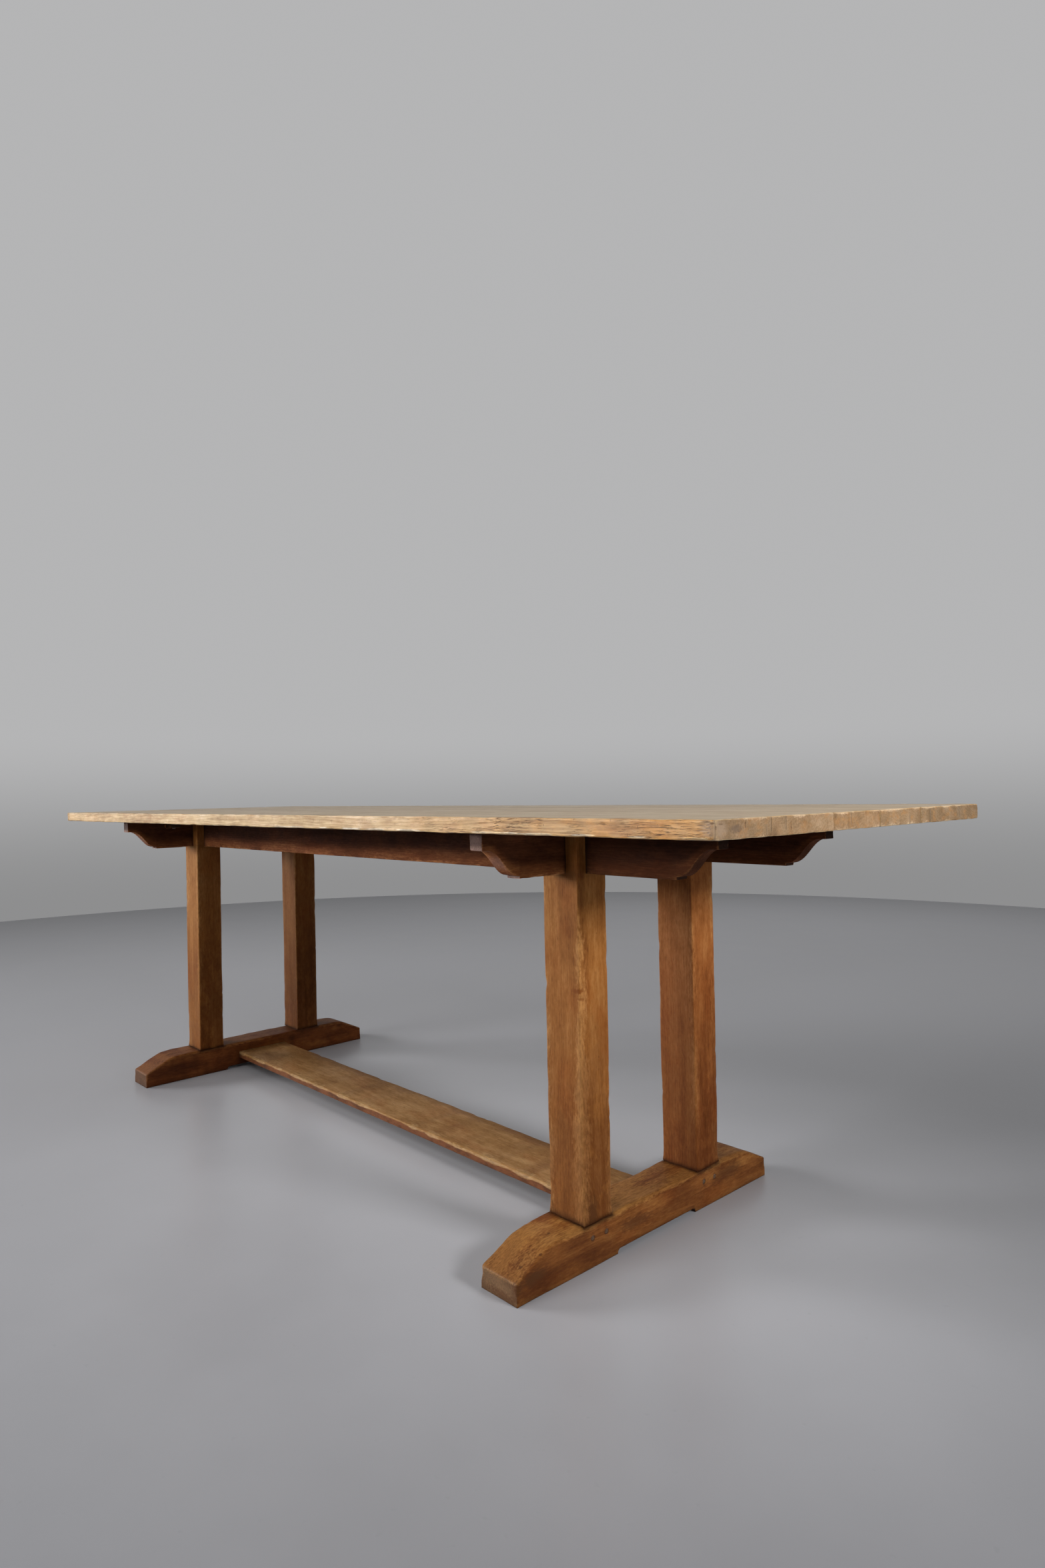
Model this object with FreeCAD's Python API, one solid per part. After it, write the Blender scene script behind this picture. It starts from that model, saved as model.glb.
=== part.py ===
import FreeCAD, Part
import os
from math import cos, radians, sin

# Trestle dining table in solid wood: a boarded top on two trestles, tied together by two
# long rails under the top and a low flat stretcher between the feet.
# Millimetres. X runs along the table, Y across it, Z up, with the origin on the floor
# under the middle of the top.

V = FreeCAD.Vector
UP = V(0, 0, 1)
LEFT, RIGHT = -1, 1
FRONT, BACK = -1, 1

# The table as a whole
TOP_LENGTH = 2440.0
TOP_WIDTH = 784.0
TABLE_HEIGHT = 760.0
TOP_OVERHANG = 463.0           # end of the top to the middle of the nearer trestle

# Top: four lengthwise boards, edge jointed with loose tongues
TOP_THICK = 26.0
INNER_BOARD = 138.0            # each of the two middle boards; the outer two take the rest
MIDDLE_JOINT_Y = 24.0          # the joint between them, behind the middle of the top
BOARD_GAP = 0.3                # the open line between two boards
TOP_CORNER_R = 9.0             # rounding of the corners, seen from above
TOP_ARRIS = 2.5                # worn edge of the top
TONGUE_THICK = 6.0
TONGUE_OVER_SCREWS = 1.5       # the tongues lie this far above the tips of the screws
TONGUE_WIDE = 22.0
TONGUE_STOP = 60.0             # bare wood between a groove's end and the end of its board

# Posts, two to a trestle
POST_X = 82.0
POST_Y = 70.0
POST_SPREAD = 310.0            # middle of one post to middle of the other
POST_ARRIS_R = 2.5
POST_TENON_X = 28.0
POST_TENON_Y = 56.0
POST_TENON_DEEP = 50.0

# Feet
FOOT_SET_IN = 47.0             # edge of the top to the end of a foot, seen from above
FOOT_X = 86.0
FOOT_HIGH = 72.0
FOOT_END_HIGH = 36.0
FOOT_SLOPE = 80.0              # length of each sloped end, measured along the floor
FOOT_ARRIS = 2.5
RELIEF_LENGTH = 220.0          # shallow hollow under the foot, between its two pads
RELIEF_HIGH = 8.0

# Moulded members: long rails along X and bearers along Y, all of one section
MEMBER_DEEP = 77.0
MEMBER_END_DEEP = 28.0         # what the moulding leaves at the very end
RAIL_SET_IN = 155.0            # end of the top to the end of a rail
RAIL_THICK = 28.0
BEARER_SET_IN = 18.0           # edge of the top to the end of a bearer
BEARER_THICK = 30.0
OGEE_FLAT = 10.0               # straight soffit next to the end
OGEE_RUN = 68.0                # length of the ogee itself
OGEE_HANDLE = 30.0             # how long the curve keeps level at each of its ends
OGEE_STEP = 4.5                # small square step where the ogee meets the bottom edge

# Stretcher
STRETCHER_WIDE = 148.0
STRETCHER_THICK = 18.0
STRETCHER_TOP = 46.0
STRETCHER_ARRIS_R = 3.0
STRETCHER_TENON_WIDE = 112.0
STRETCHER_TENON_THICK = 10.0
STRETCHER_TENON_DEEP = 34.0

# Pegs and dowels
DRAW_PEG_D = 9.0
DRAW_PEG_SPACING = 34.0
DRAW_PEG_BELOW_TOP = 23.0      # below the top of the foot
DRAW_PEG_STOP = 12.0           # bare wood left beyond the blind end
STRETCHER_PEG_D = 8.0
STRETCHER_PEG_OVER = 6.0       # how far the peg runs on above the tenon
CROSS_DOWEL_D = 10.0
CROSS_DOWEL_SUNK = 2.0         # below the top of the rail
CROSS_DOWEL_IN_POST = 30.0

# Wooden buttons that hold the top down, and their screws
BUTTON_WIDE = 30.0
BUTTON_HIGH = 20.0
BUTTON_BODY = 24.0             # stands out from the member by this much
BUTTON_TONGUE_DEEP = 9.0
BUTTON_LIP = 10.5              # from the underside of the top down to the tongue
BUTTON_MORTISE_WIDE = 36.0     # wider than the button, so that the top can move
SCREW_FROM_MEMBER = 11.0
SCREW_D = 4.5
SCREW_HEAD_D = 9.0
SCREW_HEAD_HIGH = 2.6
SCREW_IN_TOP = 12.0
BUTTON_OUTSIDE_POST = 60.0     # middle of a button, outwards from the side of a post
BUTTON_INSIDE_POST = 45.0      # and inwards from it

# Clearances
FIT = 0.15                     # on each side of a tenon, slot or mortise
SEAT = 0.5                     # at the blind end of a joint
PEG_FIT = 0.1                  # around a peg, dowel or screw

# Levels and places that follow from the sizes above
UNDERSIDE = TABLE_HEIGHT - TOP_THICK
MEMBER_BOTTOM = UNDERSIDE - MEMBER_DEEP
TRESTLE_X = TOP_LENGTH / 2 - TOP_OVERHANG
POST_CENTRE_Y = POST_SPREAD / 2
FOOT_LENGTH = TOP_WIDTH - 2 * FOOT_SET_IN
RAIL_LENGTH = TOP_LENGTH - 2 * RAIL_SET_IN
BEARER_LENGTH = TOP_WIDTH - 2 * BEARER_SET_IN
PARTS = "parts"


def block(x_size, y_size, z_size, centre_x=0.0, centre_y=0.0, bottom=0.0):
    """Rectangular solid, placed by the middle of its underside."""
    corner = V(centre_x - x_size / 2, centre_y - y_size / 2, bottom)
    return Part.makeBox(x_size, y_size, z_size, corner)


def rod(diameter, length, start, direction):
    """Round bar that runs from start along direction."""
    return Part.makeCylinder(diameter / 2, length, start, direction)


def shaved_rod(diameter, length, start):
    """Upright bar shaved to eight sides, its corners just reaching the diameter."""
    corners = [start + V(cos(radians(45 * i)), sin(radians(45 * i)), 0) * (diameter / 2)
               for i in range(9)]
    return prism(Part.makePolygon(corners), UP * length)


def prism(profile, sweep):
    """Solid made by moving a closed outline along sweep."""
    return Part.Face(profile).extrude(sweep)


def line(start, end):
    return Part.LineSegment(start, end).toShape()


def straight_edges(shape, direction):
    """The straight edges of shape that run along direction."""
    found = []
    for edge in shape.Edges:
        if isinstance(edge.Curve, Part.Line):
            if abs(abs(edge.tangentAt(edge.FirstParameter).dot(direction)) - 1) < 1e-6:
                found.append(edge)
    return found


def merge(pieces):
    return Part.makeCompound(pieces)


# ---- top ----

def top_blank():
    """The whole top before it is divided into boards, with its worn outer edges."""
    slab = block(TOP_LENGTH, TOP_WIDTH, TOP_THICK, bottom=UNDERSIDE)
    slab = slab.makeFillet(TOP_CORNER_R, straight_edges(slab, UP))
    rim = [e for face in slab.Faces for e in face.OuterWire.Edges
           if abs(face.normalAt(0, 0).z) > 0.9]
    return slab.makeChamfer(TOP_ARRIS, rim)


def board_joints():
    """Y of the three lines where one board meets the next."""
    return [MIDDLE_JOINT_Y + step * INNER_BOARD for step in (-1, 0, 1)]


def tongue(joint_y, clearance=0.0):
    """Loose tongue at one joint, or its groove when clearance is given."""
    length = TOP_LENGTH - 2 * TONGUE_STOP + 2 * clearance
    thick = TONGUE_THICK + 2 * clearance
    bottom = UNDERSIDE + SCREW_IN_TOP + TONGUE_OVER_SCREWS - clearance
    return block(length, TONGUE_WIDE + 2 * clearance, thick, 0, joint_y, bottom)


def top_board(near_y, far_y, joints):
    """One board of the top, between two lines, grooved at the joints."""
    middle = (near_y + far_y) / 2
    cutter = block(TOP_LENGTH, far_y - near_y, TOP_THICK, 0, middle, UNDERSIDE)
    board = top_blank().common(cutter)
    for joint_y in joints:
        board = board.cut(tongue(joint_y, FIT))
    for button in button_places():
        board = board.cut(screw_shank(button, PEG_FIT))
    return board


def top_boards():
    """The four boards, from the front edge to the back edge."""
    gap = BOARD_GAP / 2
    joints = board_joints()
    front = top_board(-TOP_WIDTH / 2, joints[0] - gap, joints[:1])
    inner_front = top_board(joints[0] + gap, joints[1] - gap, joints[:2])
    inner_back = top_board(joints[1] + gap, joints[2] - gap, joints[1:])
    back = top_board(joints[2] + gap, TOP_WIDTH / 2, joints[2:])
    return front, inner_front, inner_back, back


# ---- moulded members ----

def member_outline(length):
    """Side view of a rail or bearer along X: straight top edge and an ogee at each end."""
    end_z = UNDERSIDE - MEMBER_END_DEEP
    step_z = MEMBER_BOTTOM + OGEE_STEP
    edges = []
    for side in (LEFT, RIGHT):
        end_x = side * length / 2
        tip = V(end_x, 0, end_z)
        cove = V(end_x - side * OGEE_FLAT, 0, end_z)
        foot = V(end_x - side * (OGEE_FLAT + OGEE_RUN), 0, step_z)
        level = V(side * OGEE_HANDLE, 0, 0)
        ogee = Part.BezierCurve()
        ogee.setPoles([cove, cove - level, foot + level, foot])
        edges += [line(V(end_x, 0, UNDERSIDE), tip), line(tip, cove), ogee.toShape()]
        edges.append(line(foot, V(foot.x, 0, MEMBER_BOTTOM)))
    half = length / 2 - OGEE_FLAT - OGEE_RUN
    edges.append(line(V(-half, 0, MEMBER_BOTTOM), V(half, 0, MEMBER_BOTTOM)))
    edges.append(line(V(-length / 2, 0, UNDERSIDE), V(length / 2, 0, UNDERSIDE)))
    return Part.Wire(Part.__sortEdges__(edges))


def member(length, thick):
    """Moulded member along X, centred on the origin line."""
    solid = prism(member_outline(length), V(0, thick, 0))
    solid.translate(V(0, -thick / 2, 0))
    return solid


def rail(side):
    """Long rail: halved from below over each bearer."""
    y = side * POST_CENTRE_Y
    solid = member(RAIL_LENGTH, RAIL_THICK)
    solid.translate(V(0, y, 0))
    notch = MEMBER_DEEP / 2
    for end in (LEFT, RIGHT):
        x = end * TRESTLE_X
        lap = block(BEARER_THICK + 2 * FIT, RAIL_THICK, notch, x, y, MEMBER_BOTTOM)
        solid = solid.cut(lap).cut(cross_dowel_hole(x, y))
    for button in button_places():
        solid = solid.cut(button_mortise(button))
    return solid


def bearer(end):
    """Bearer across the top of one trestle: halved from above under each rail."""
    x = end * TRESTLE_X
    solid = member(BEARER_LENGTH, BEARER_THICK)
    solid.rotate(V(0, 0, 0), UP, 90)
    solid.translate(V(x, 0, 0))
    notch = MEMBER_DEEP / 2
    for side in (FRONT, BACK):
        y = side * POST_CENTRE_Y
        lap = block(BEARER_THICK, RAIL_THICK + 2 * FIT, notch, x, y, UNDERSIDE - notch)
        solid = solid.cut(lap).cut(cross_dowel_hole(x, y))
    for button in button_places():
        solid = solid.cut(button_mortise(button))
    return solid


# ---- posts ----

def post_tenon(x, y, clearance=0.0, deeper=0.0):
    """Tenon at the foot of a post, or its mortise when clearance is given."""
    high = POST_TENON_DEEP + deeper
    return block(POST_TENON_X + 2 * clearance, POST_TENON_Y + 2 * clearance, high,
                 x, y, FOOT_HIGH - high)


def post(end, side):
    """Post with a draw-pegged tenon below and a cross bridle with four horns above."""
    x, y = end * TRESTLE_X, side * POST_CENTRE_Y
    shaft = block(POST_X, POST_Y, UNDERSIDE - FOOT_HIGH, x, y, FOOT_HIGH)
    shaft = shaft.makeFillet(POST_ARRIS_R, straight_edges(shaft, UP))
    bearer_slot = block(BEARER_THICK + 2 * FIT, POST_Y, MEMBER_DEEP, x, y, MEMBER_BOTTOM)
    rail_slot = block(POST_X, RAIL_THICK + 2 * FIT, MEMBER_DEEP, x, y, MEMBER_BOTTOM)
    solid = shaft.cut(bearer_slot).cut(rail_slot).fuse(post_tenon(x, y)).removeSplitter()
    solid = solid.cut(cross_dowel_hole(x, y))
    for peg in draw_peg_places(end):
        solid = solid.cut(draw_peg(peg, end, PEG_FIT))
    return solid


# ---- feet ----

def foot_outline():
    """Side view of a foot in the YZ plane: sloped ends, and a hollow between two pads."""
    half = FOOT_LENGTH / 2
    hollow = RELIEF_LENGTH / 2
    shoulder = half - FOOT_SLOPE
    diagonal = RELIEF_HIGH * (1 - 2 ** -0.5)
    edges = [line(V(0, -shoulder, FOOT_HIGH), V(0, shoulder, FOOT_HIGH))]
    for side in (FRONT, BACK):
        end = V(0, side * half, 0)
        nose = V(0, side * half, FOOT_END_HIGH)
        pad = V(0, side * hollow, 0)
        crown = V(0, side * (hollow - RELIEF_HIGH), RELIEF_HIGH)
        on_curve = V(0, side * (hollow - diagonal), RELIEF_HIGH - diagonal)
        edges.append(line(nose, V(0, side * shoulder, FOOT_HIGH)))
        edges.append(line(end, nose))
        edges.append(line(pad, end))
        edges.append(Part.Arc(pad, on_curve, crown).toShape())
    near = V(0, -(hollow - RELIEF_HIGH), RELIEF_HIGH)
    edges.append(line(near, V(0, hollow - RELIEF_HIGH, RELIEF_HIGH)))
    return Part.Wire(Part.__sortEdges__(edges))


def upper_arrises(solid):
    """The edges of a foot that hands and shoes wear: all but those at the floor."""
    return [e for e in solid.Edges
            if isinstance(e.Curve, Part.Line) and e.CenterOfMass.z > RELIEF_HIGH]


def foot(end):
    """Sledge foot with two post mortises on top and the stretcher's mortise inside."""
    x = end * TRESTLE_X
    solid = prism(foot_outline(), V(FOOT_X, 0, 0))
    solid = solid.makeChamfer(FOOT_ARRIS, upper_arrises(solid))
    solid.translate(V(x - FOOT_X / 2, 0, 0))
    for side in (FRONT, BACK):
        solid = solid.cut(post_tenon(x, side * POST_CENTRE_Y, FIT, SEAT))
    solid = solid.cut(stretcher_tenon(end, FIT, SEAT))
    for peg in draw_peg_places(end):
        solid = solid.cut(draw_peg(peg, end, PEG_FIT))
    return solid.cut(stretcher_peg_hole(end))


# ---- stretcher ----

def stretcher_tenon(end, clearance=0.0, deeper=0.0):
    """Tenon at one end of the stretcher, or its mortise when clearance is given."""
    thick = STRETCHER_TENON_THICK + 2 * clearance
    length = STRETCHER_TENON_DEEP + deeper
    face_x = TRESTLE_X - FOOT_X / 2
    bottom = STRETCHER_TOP - (STRETCHER_THICK + thick) / 2
    return block(length, STRETCHER_TENON_WIDE + 2 * clearance, thick,
                 end * (face_x + length / 2), 0, bottom)


def stretcher():
    """Flat board between the feet, shouldered and tenoned into both."""
    length = 2 * TRESTLE_X - FOOT_X
    bottom = STRETCHER_TOP - STRETCHER_THICK
    solid = block(length, STRETCHER_WIDE, STRETCHER_THICK, 0, 0, bottom)
    solid = solid.makeFillet(STRETCHER_ARRIS_R, straight_edges(solid, V(1, 0, 0)))
    for end in (LEFT, RIGHT):
        solid = solid.fuse(stretcher_tenon(end))
    solid = solid.removeSplitter()
    for end in (LEFT, RIGHT):
        solid = solid.cut(stretcher_peg_hole(end))
    return solid


# ---- pegs and dowels ----

def draw_peg_places(end):
    """Y of the four pegs in one foot, two through the tenon of each post."""
    offset = DRAW_PEG_SPACING / 2
    return [side * POST_CENTRE_Y + o for side in (FRONT, BACK) for o in (-offset, offset)]


def draw_peg(y, end, clearance=0.0):
    """Peg driven in from the outer face of the foot, or its hole when clearance is given."""
    outer = V(end * (TRESTLE_X + FOOT_X / 2), y, FOOT_HIGH - DRAW_PEG_BELOW_TOP)
    length = FOOT_X - DRAW_PEG_STOP
    return rod(DRAW_PEG_D + 2 * clearance, length + clearance, outer, V(-end, 0, 0))


def draw_pegs(end):
    return merge([draw_peg(y, end) for y in draw_peg_places(end)])


def stretcher_peg_start(end):
    return V(end * (TRESTLE_X - FOOT_X / 2 + STRETCHER_TENON_DEEP / 2), 0, RELIEF_HIGH)


def stretcher_peg_length():
    """From the hollow of the foot up through the stretcher's tenon, and a little beyond."""
    tenon_top = STRETCHER_TOP - (STRETCHER_THICK - STRETCHER_TENON_THICK) / 2
    return tenon_top + STRETCHER_PEG_OVER - RELIEF_HIGH


def stretcher_peg_hole(end):
    return rod(STRETCHER_PEG_D + 2 * PEG_FIT, stretcher_peg_length() + PEG_FIT,
               stretcher_peg_start(end), UP)


def stretcher_pegs():
    return merge([shaved_rod(STRETCHER_PEG_D, stretcher_peg_length(), stretcher_peg_start(end))
                  for end in (LEFT, RIGHT)])


def cross_dowel(x, y):
    """Dowel down through rail and bearer into the post, sunk below the top of the rail."""
    length = MEMBER_DEEP - CROSS_DOWEL_SUNK + CROSS_DOWEL_IN_POST
    return shaved_rod(CROSS_DOWEL_D, length, V(x, y, MEMBER_BOTTOM - CROSS_DOWEL_IN_POST))


def cross_dowel_hole(x, y):
    """Hole for that dowel, open at the top of the rail."""
    bottom = MEMBER_BOTTOM - CROSS_DOWEL_IN_POST - PEG_FIT
    return rod(CROSS_DOWEL_D + 2 * PEG_FIT, UNDERSIDE - bottom, V(x, y, bottom), UP)


def cross_dowels():
    return merge([cross_dowel(end * TRESTLE_X, side * POST_CENTRE_Y)
                  for end in (LEFT, RIGHT) for side in (FRONT, BACK)])


# ---- buttons and screws ----

def button_places():
    """Where each button sits: a point on the member's face at the underside of the top,
    and the direction in which the button stands out from that face."""
    places = []
    outside = POST_CENTRE_Y + POST_Y / 2 + BUTTON_OUTSIDE_POST
    inside = POST_CENTRE_Y - POST_Y / 2 - BUTTON_INSIDE_POST
    for end in (LEFT, RIGHT):
        face_x = end * (TRESTLE_X - BEARER_THICK / 2)
        for y in (-outside, -inside, inside, outside):
            places.append((V(face_x, y, UNDERSIDE), V(-end, 0, 0)))
    for side in (FRONT, BACK):
        face_y = side * (POST_CENTRE_Y - RAIL_THICK / 2)
        places.append((V(0, face_y, UNDERSIDE), V(0, -side, 0)))
    return places


def along(direction, length, across, high, start, bottom_z):
    """Box that starts at a point and runs along direction, centred on it sideways."""
    box = block(length, across, high, length / 2, 0, 0)
    box.rotate(V(0, 0, 0), UP, 90 if abs(direction.y) > 0.5 else 0)
    if direction.x + direction.y < 0:
        box.rotate(V(0, 0, 0), UP, 180)
    box.translate(V(start.x, start.y, bottom_z))
    return box


def button(place):
    """Rebated block: its body lies under the top, its tongue in the member's mortise."""
    face, out = place
    bottom = UNDERSIDE - BUTTON_HIGH
    body = along(out, BUTTON_BODY, BUTTON_WIDE, BUTTON_HIGH, face, bottom)
    gap = along(out, SEAT, BUTTON_WIDE, BUTTON_LIP, face, UNDERSIDE - BUTTON_LIP)
    tail = face - out * BUTTON_TONGUE_DEEP
    catch = along(out, BUTTON_TONGUE_DEEP, BUTTON_WIDE, BUTTON_HIGH - BUTTON_LIP, tail, bottom)
    return body.cut(gap).fuse(catch).removeSplitter().cut(screw_shank(place, PEG_FIT))


def button_mortise(place):
    face, out = place
    start = face - out * (BUTTON_TONGUE_DEEP + SEAT)
    high = BUTTON_HIGH - BUTTON_LIP + 2 * FIT
    bottom = UNDERSIDE - BUTTON_HIGH - FIT
    return along(out, BUTTON_TONGUE_DEEP + SEAT, BUTTON_MORTISE_WIDE, high, start, bottom)


def screw_shank(place, clearance=0.0):
    """Shank of a button's screw, kept to eight sides, or its hole with a clearance."""
    face, out = place
    start = face + out * SCREW_FROM_MEMBER - UP * BUTTON_HIGH
    length = BUTTON_HIGH + SCREW_IN_TOP + clearance
    return shaved_rod(SCREW_D + 2 * clearance, length, start)


def button_screw(place):
    """Wood screw driven up through a button, its head flat against the button."""
    face, out = place
    start = face + out * SCREW_FROM_MEMBER - UP * (BUTTON_HIGH + SCREW_HEAD_HIGH)
    head = shaved_rod(SCREW_HEAD_D, SCREW_HEAD_HIGH, start)
    return head.fuse(screw_shank(place))


def export(name, shape):
    shape.exportStep(os.path.join(PARTS, name + ".step"))


def main():
    os.makedirs(PARTS, exist_ok=True)
    front, inner_front, inner_back, back = top_boards()
    export("top_board_front", front)
    export("top_board_inner_front", inner_front)
    export("top_board_inner_back", inner_back)
    export("top_board_back", back)
    export("board_tongues", merge([tongue(y) for y in board_joints()]))
    for end, end_name in ((LEFT, "left"), (RIGHT, "right")):
        export("bearer_" + end_name, bearer(end))
        export("foot_" + end_name, foot(end))
        export("draw_pegs_" + end_name, draw_pegs(end))
        for side, side_name in ((FRONT, "front"), (BACK, "back")):
            export("post_" + end_name + "_" + side_name, post(end, side))
    export("rail_front", rail(FRONT))
    export("rail_back", rail(BACK))
    export("stretcher", stretcher())
    export("stretcher_pegs", stretcher_pegs())
    export("cross_dowels", cross_dowels())
    export("top_buttons", merge([button(place) for place in button_places()]))
    export("button_screws", merge([button_screw(place) for place in button_places()]))


main()
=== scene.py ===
from math import cos, pi, radians, sin

import bpy
import numpy as np
from mathutils import Matrix, Vector


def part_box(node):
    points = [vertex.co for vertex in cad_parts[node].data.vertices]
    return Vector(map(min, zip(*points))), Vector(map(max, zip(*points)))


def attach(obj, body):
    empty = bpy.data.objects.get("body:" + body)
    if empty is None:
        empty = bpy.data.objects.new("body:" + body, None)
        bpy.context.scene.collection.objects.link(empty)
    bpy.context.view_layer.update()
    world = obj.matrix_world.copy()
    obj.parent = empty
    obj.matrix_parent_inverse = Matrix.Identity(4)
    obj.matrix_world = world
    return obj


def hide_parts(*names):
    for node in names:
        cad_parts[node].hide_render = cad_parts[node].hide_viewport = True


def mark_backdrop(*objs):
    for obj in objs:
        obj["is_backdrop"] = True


# Worn trestle dining table in solid wood. Metres, X along the table, Y across it, Z up.
# Each board, rail, post and foot is a dense closed skin laid over its CAD box, worn
# inwards from it, and then cut with its real mortises, slots and holes. Pegs, buttons
# and screws are turned or drawn as closed shells.

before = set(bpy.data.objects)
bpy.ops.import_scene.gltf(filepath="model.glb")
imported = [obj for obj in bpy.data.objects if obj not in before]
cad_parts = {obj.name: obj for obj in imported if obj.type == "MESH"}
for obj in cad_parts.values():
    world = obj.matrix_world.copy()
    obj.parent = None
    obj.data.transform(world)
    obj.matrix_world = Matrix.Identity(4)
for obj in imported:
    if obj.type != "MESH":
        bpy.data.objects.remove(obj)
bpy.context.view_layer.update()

MM = 0.001
X, Y, Z = AXES = (0, 1, 2)
UP = (0, 0, 1)
LEFT, RIGHT = -1, 1
FRONT, BACK = -1, 1
ENDS = {"left": LEFT, "right": RIGHT}
SIDES = {"front": FRONT, "back": BACK}
BOARDS = ("front", "inner_front", "inner_back", "back")
TINY = 1e-9

# Stations next to an edge, where the rounding needs them
EDGE_STEPS = np.array([0, 0.5, 1.1, 1.9, 3.0, 4.4, 6.4, 9.2]) * MM
SAME_STATION = 0.02 * MM
SMOOTH_ANGLE = radians(38)

# Joinery that the boxes of the nodes don't give
FIT, HOLE_EASE = 0.15 * MM, 0.1 * MM
POST_TENON = np.array([28, 56]) * MM
STRETCHER_TENON = np.array([112, 10]) * MM
TONGUE_HALF = 11 * MM
PEG_SPACING = 34 * MM
OGEE_FLAT, OGEE_RUN, OGEE_HANDLE, OGEE_STEP = 10 * MM, 68 * MM, 30 * MM, 4.5 * MM
OGEE_END = OGEE_FLAT + OGEE_RUN
MEMBER_END_DEEP = 28 * MM
FOOT_END_HIGH, FOOT_SLOPE, FOOT_EASE, FOOT_SOFT = 36 * MM, 80 * MM, 9 * MM, 14 * MM
RELIEF_HALF, RELIEF_HIGH = 110 * MM, 8 * MM
CORNER_R = 13 * MM
BOARD_THICK = 26 * MM
BOARD_INSETS = np.array([0, 0.9, 0.5, 0]) * MM      # how far the boards' ends stand back

# How many knocks each kind of piece has taken
RIM_NICKS, CORNER_KNOCKS, MEMBER_KNOCKS, POST_KNOCKS, FOOT_KNOCKS, TREAD_KNOCKS = (
    60, 26, 14, 22, 26, 30)

# Camera, matched to the photograph
CAMERA_AT = (1.85681, -1.29009, 0.79759)
CAMERA_YAW, CAMERA_PITCH, CAMERA_ROLL = 0.82388, 0.00808, -0.02018
CAMERA_LENS, SENSOR = 21.0128, 36.0


# ---- skins ----

def stations(low, high, step, extra=()):
    """Places along one side of a piece, close together near both of its ends."""
    rim = EDGE_STEPS[EDGE_STEPS < (high - low) / 2]
    inner_low, inner_high = low + rim[-1], high - rim[-1]
    count = max(2, int((inner_high - inner_low) / step) + 1)
    middle = np.linspace(inner_low, inner_high, count)
    places = np.concatenate([low + rim, middle, high - rim, np.asarray(extra, float)])
    places = np.sort(places[(places >= low) & (places <= high)])
    return places[np.concatenate([[True], np.diff(places) > SAME_STATION])]


def skin(xs, ys, zs):
    """Points and quads of a closed box, with a point wherever two stations cross."""
    shape = (len(xs), len(ys), len(zs))
    outer = np.zeros(shape, bool)
    for axis in AXES:
        for end in (0, -1):
            outer[tuple(end if a == axis else slice(None) for a in AXES)] = True
    index = np.zeros(shape, int)
    index[outer] = np.arange(outer.sum())
    quads = []
    for axis in AXES:
        for end in (0, -1):
            face = index.take(end, axis)
            quad = np.stack([face[:-1, :-1], face[1:, :-1], face[1:, 1:], face[:-1, 1:]], -1)
            flip = (end == 0) != (axis == Y)
            quads.append(quad.reshape(-1, 4)[:, ::-1] if flip else quad.reshape(-1, 4))
    grid = np.stack(np.meshgrid(xs, ys, zs, indexing="ij"), -1)
    return grid[outer], np.concatenate(quads)


def box_skin(low, high, steps, axis=X, extra=()):
    """Skin of a box: steps in mm along X, Y and Z, and extra stations along one axis."""
    return skin(*[stations(low[a], high[a], steps[a] * MM, extra if a == axis else ())
                  for a in AXES])


def edge_distance(points, low, high):
    """How far each point of a box's skin lies from the nearest edge of the box."""
    return np.sort(np.minimum(points - low, high - points), axis=1)[:, 1]


def round_off(points, low, high, radius):
    """Wraps the edges and corners of the skin round a radius, one for each point."""
    radius = np.broadcast_to(np.asarray(radius, float), len(points))[:, None]
    core = np.clip(points, low + radius, high - radius)
    out = points - core
    far = np.abs(out).max(1, keepdims=True)
    length = np.linalg.norm(out, axis=1, keepdims=True)
    return core + out * far / np.maximum(length, TINY)


def press_in(points, low, high, depth, reach):
    """Moves points inwards by depth: square to a face, slantwise at an edge."""
    inward = np.clip(points, low + reach, high - reach) - points
    length = np.linalg.norm(inward, axis=1, keepdims=True)
    return points + inward / np.maximum(length, TINY) * depth[:, None]


def worn(points, low, high, radius, depth, reach=8 * MM):
    """The skin with its edges rounded, and then pressed in."""
    return press_in(round_off(points, low, high, radius), low, high, depth, reach)


def swell(points, size, seed, waves=9):
    """Smooth random field, mostly between -1 and 1, with humps about size apart."""
    rng = np.random.default_rng(seed)
    turns = rng.normal(size=(waves, 3)) * 3.2 / np.asarray(size)
    phase = rng.uniform(0, 2 * pi, waves)
    return np.cos(points @ turns.T + phase).sum(1) * (1.3 / np.sqrt(waves))


def rise(value, low, high):
    """Smooth step from 0 at low to 1 at high."""
    t = unit((value - low) / (high - low))
    return t * t * (3 - 2 * t)


def unit(value, top=1):
    """Value kept between 0 and top."""
    return np.clip(value, 0, top)


def fade(distance, reach):
    """1 at no distance, dying away quickly at first and then slowly."""
    return np.exp(-distance / reach)


def bell(distance, reach):
    """1 at no distance, dying away slowly at first and then quickly."""
    return np.exp(-np.square(distance / reach))


def dents(points, marks):
    """How deep each point lies in round dents, given by place, width and depth."""
    total = np.zeros(len(points))
    for place, width, depth in marks:
        near = np.square((points - place) / width).sum(1)
        total = np.maximum(total, depth * np.exp(-near))
    return total


# ---- objects ----

CUT, JOIN = "DIFFERENCE", "UNION"


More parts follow.
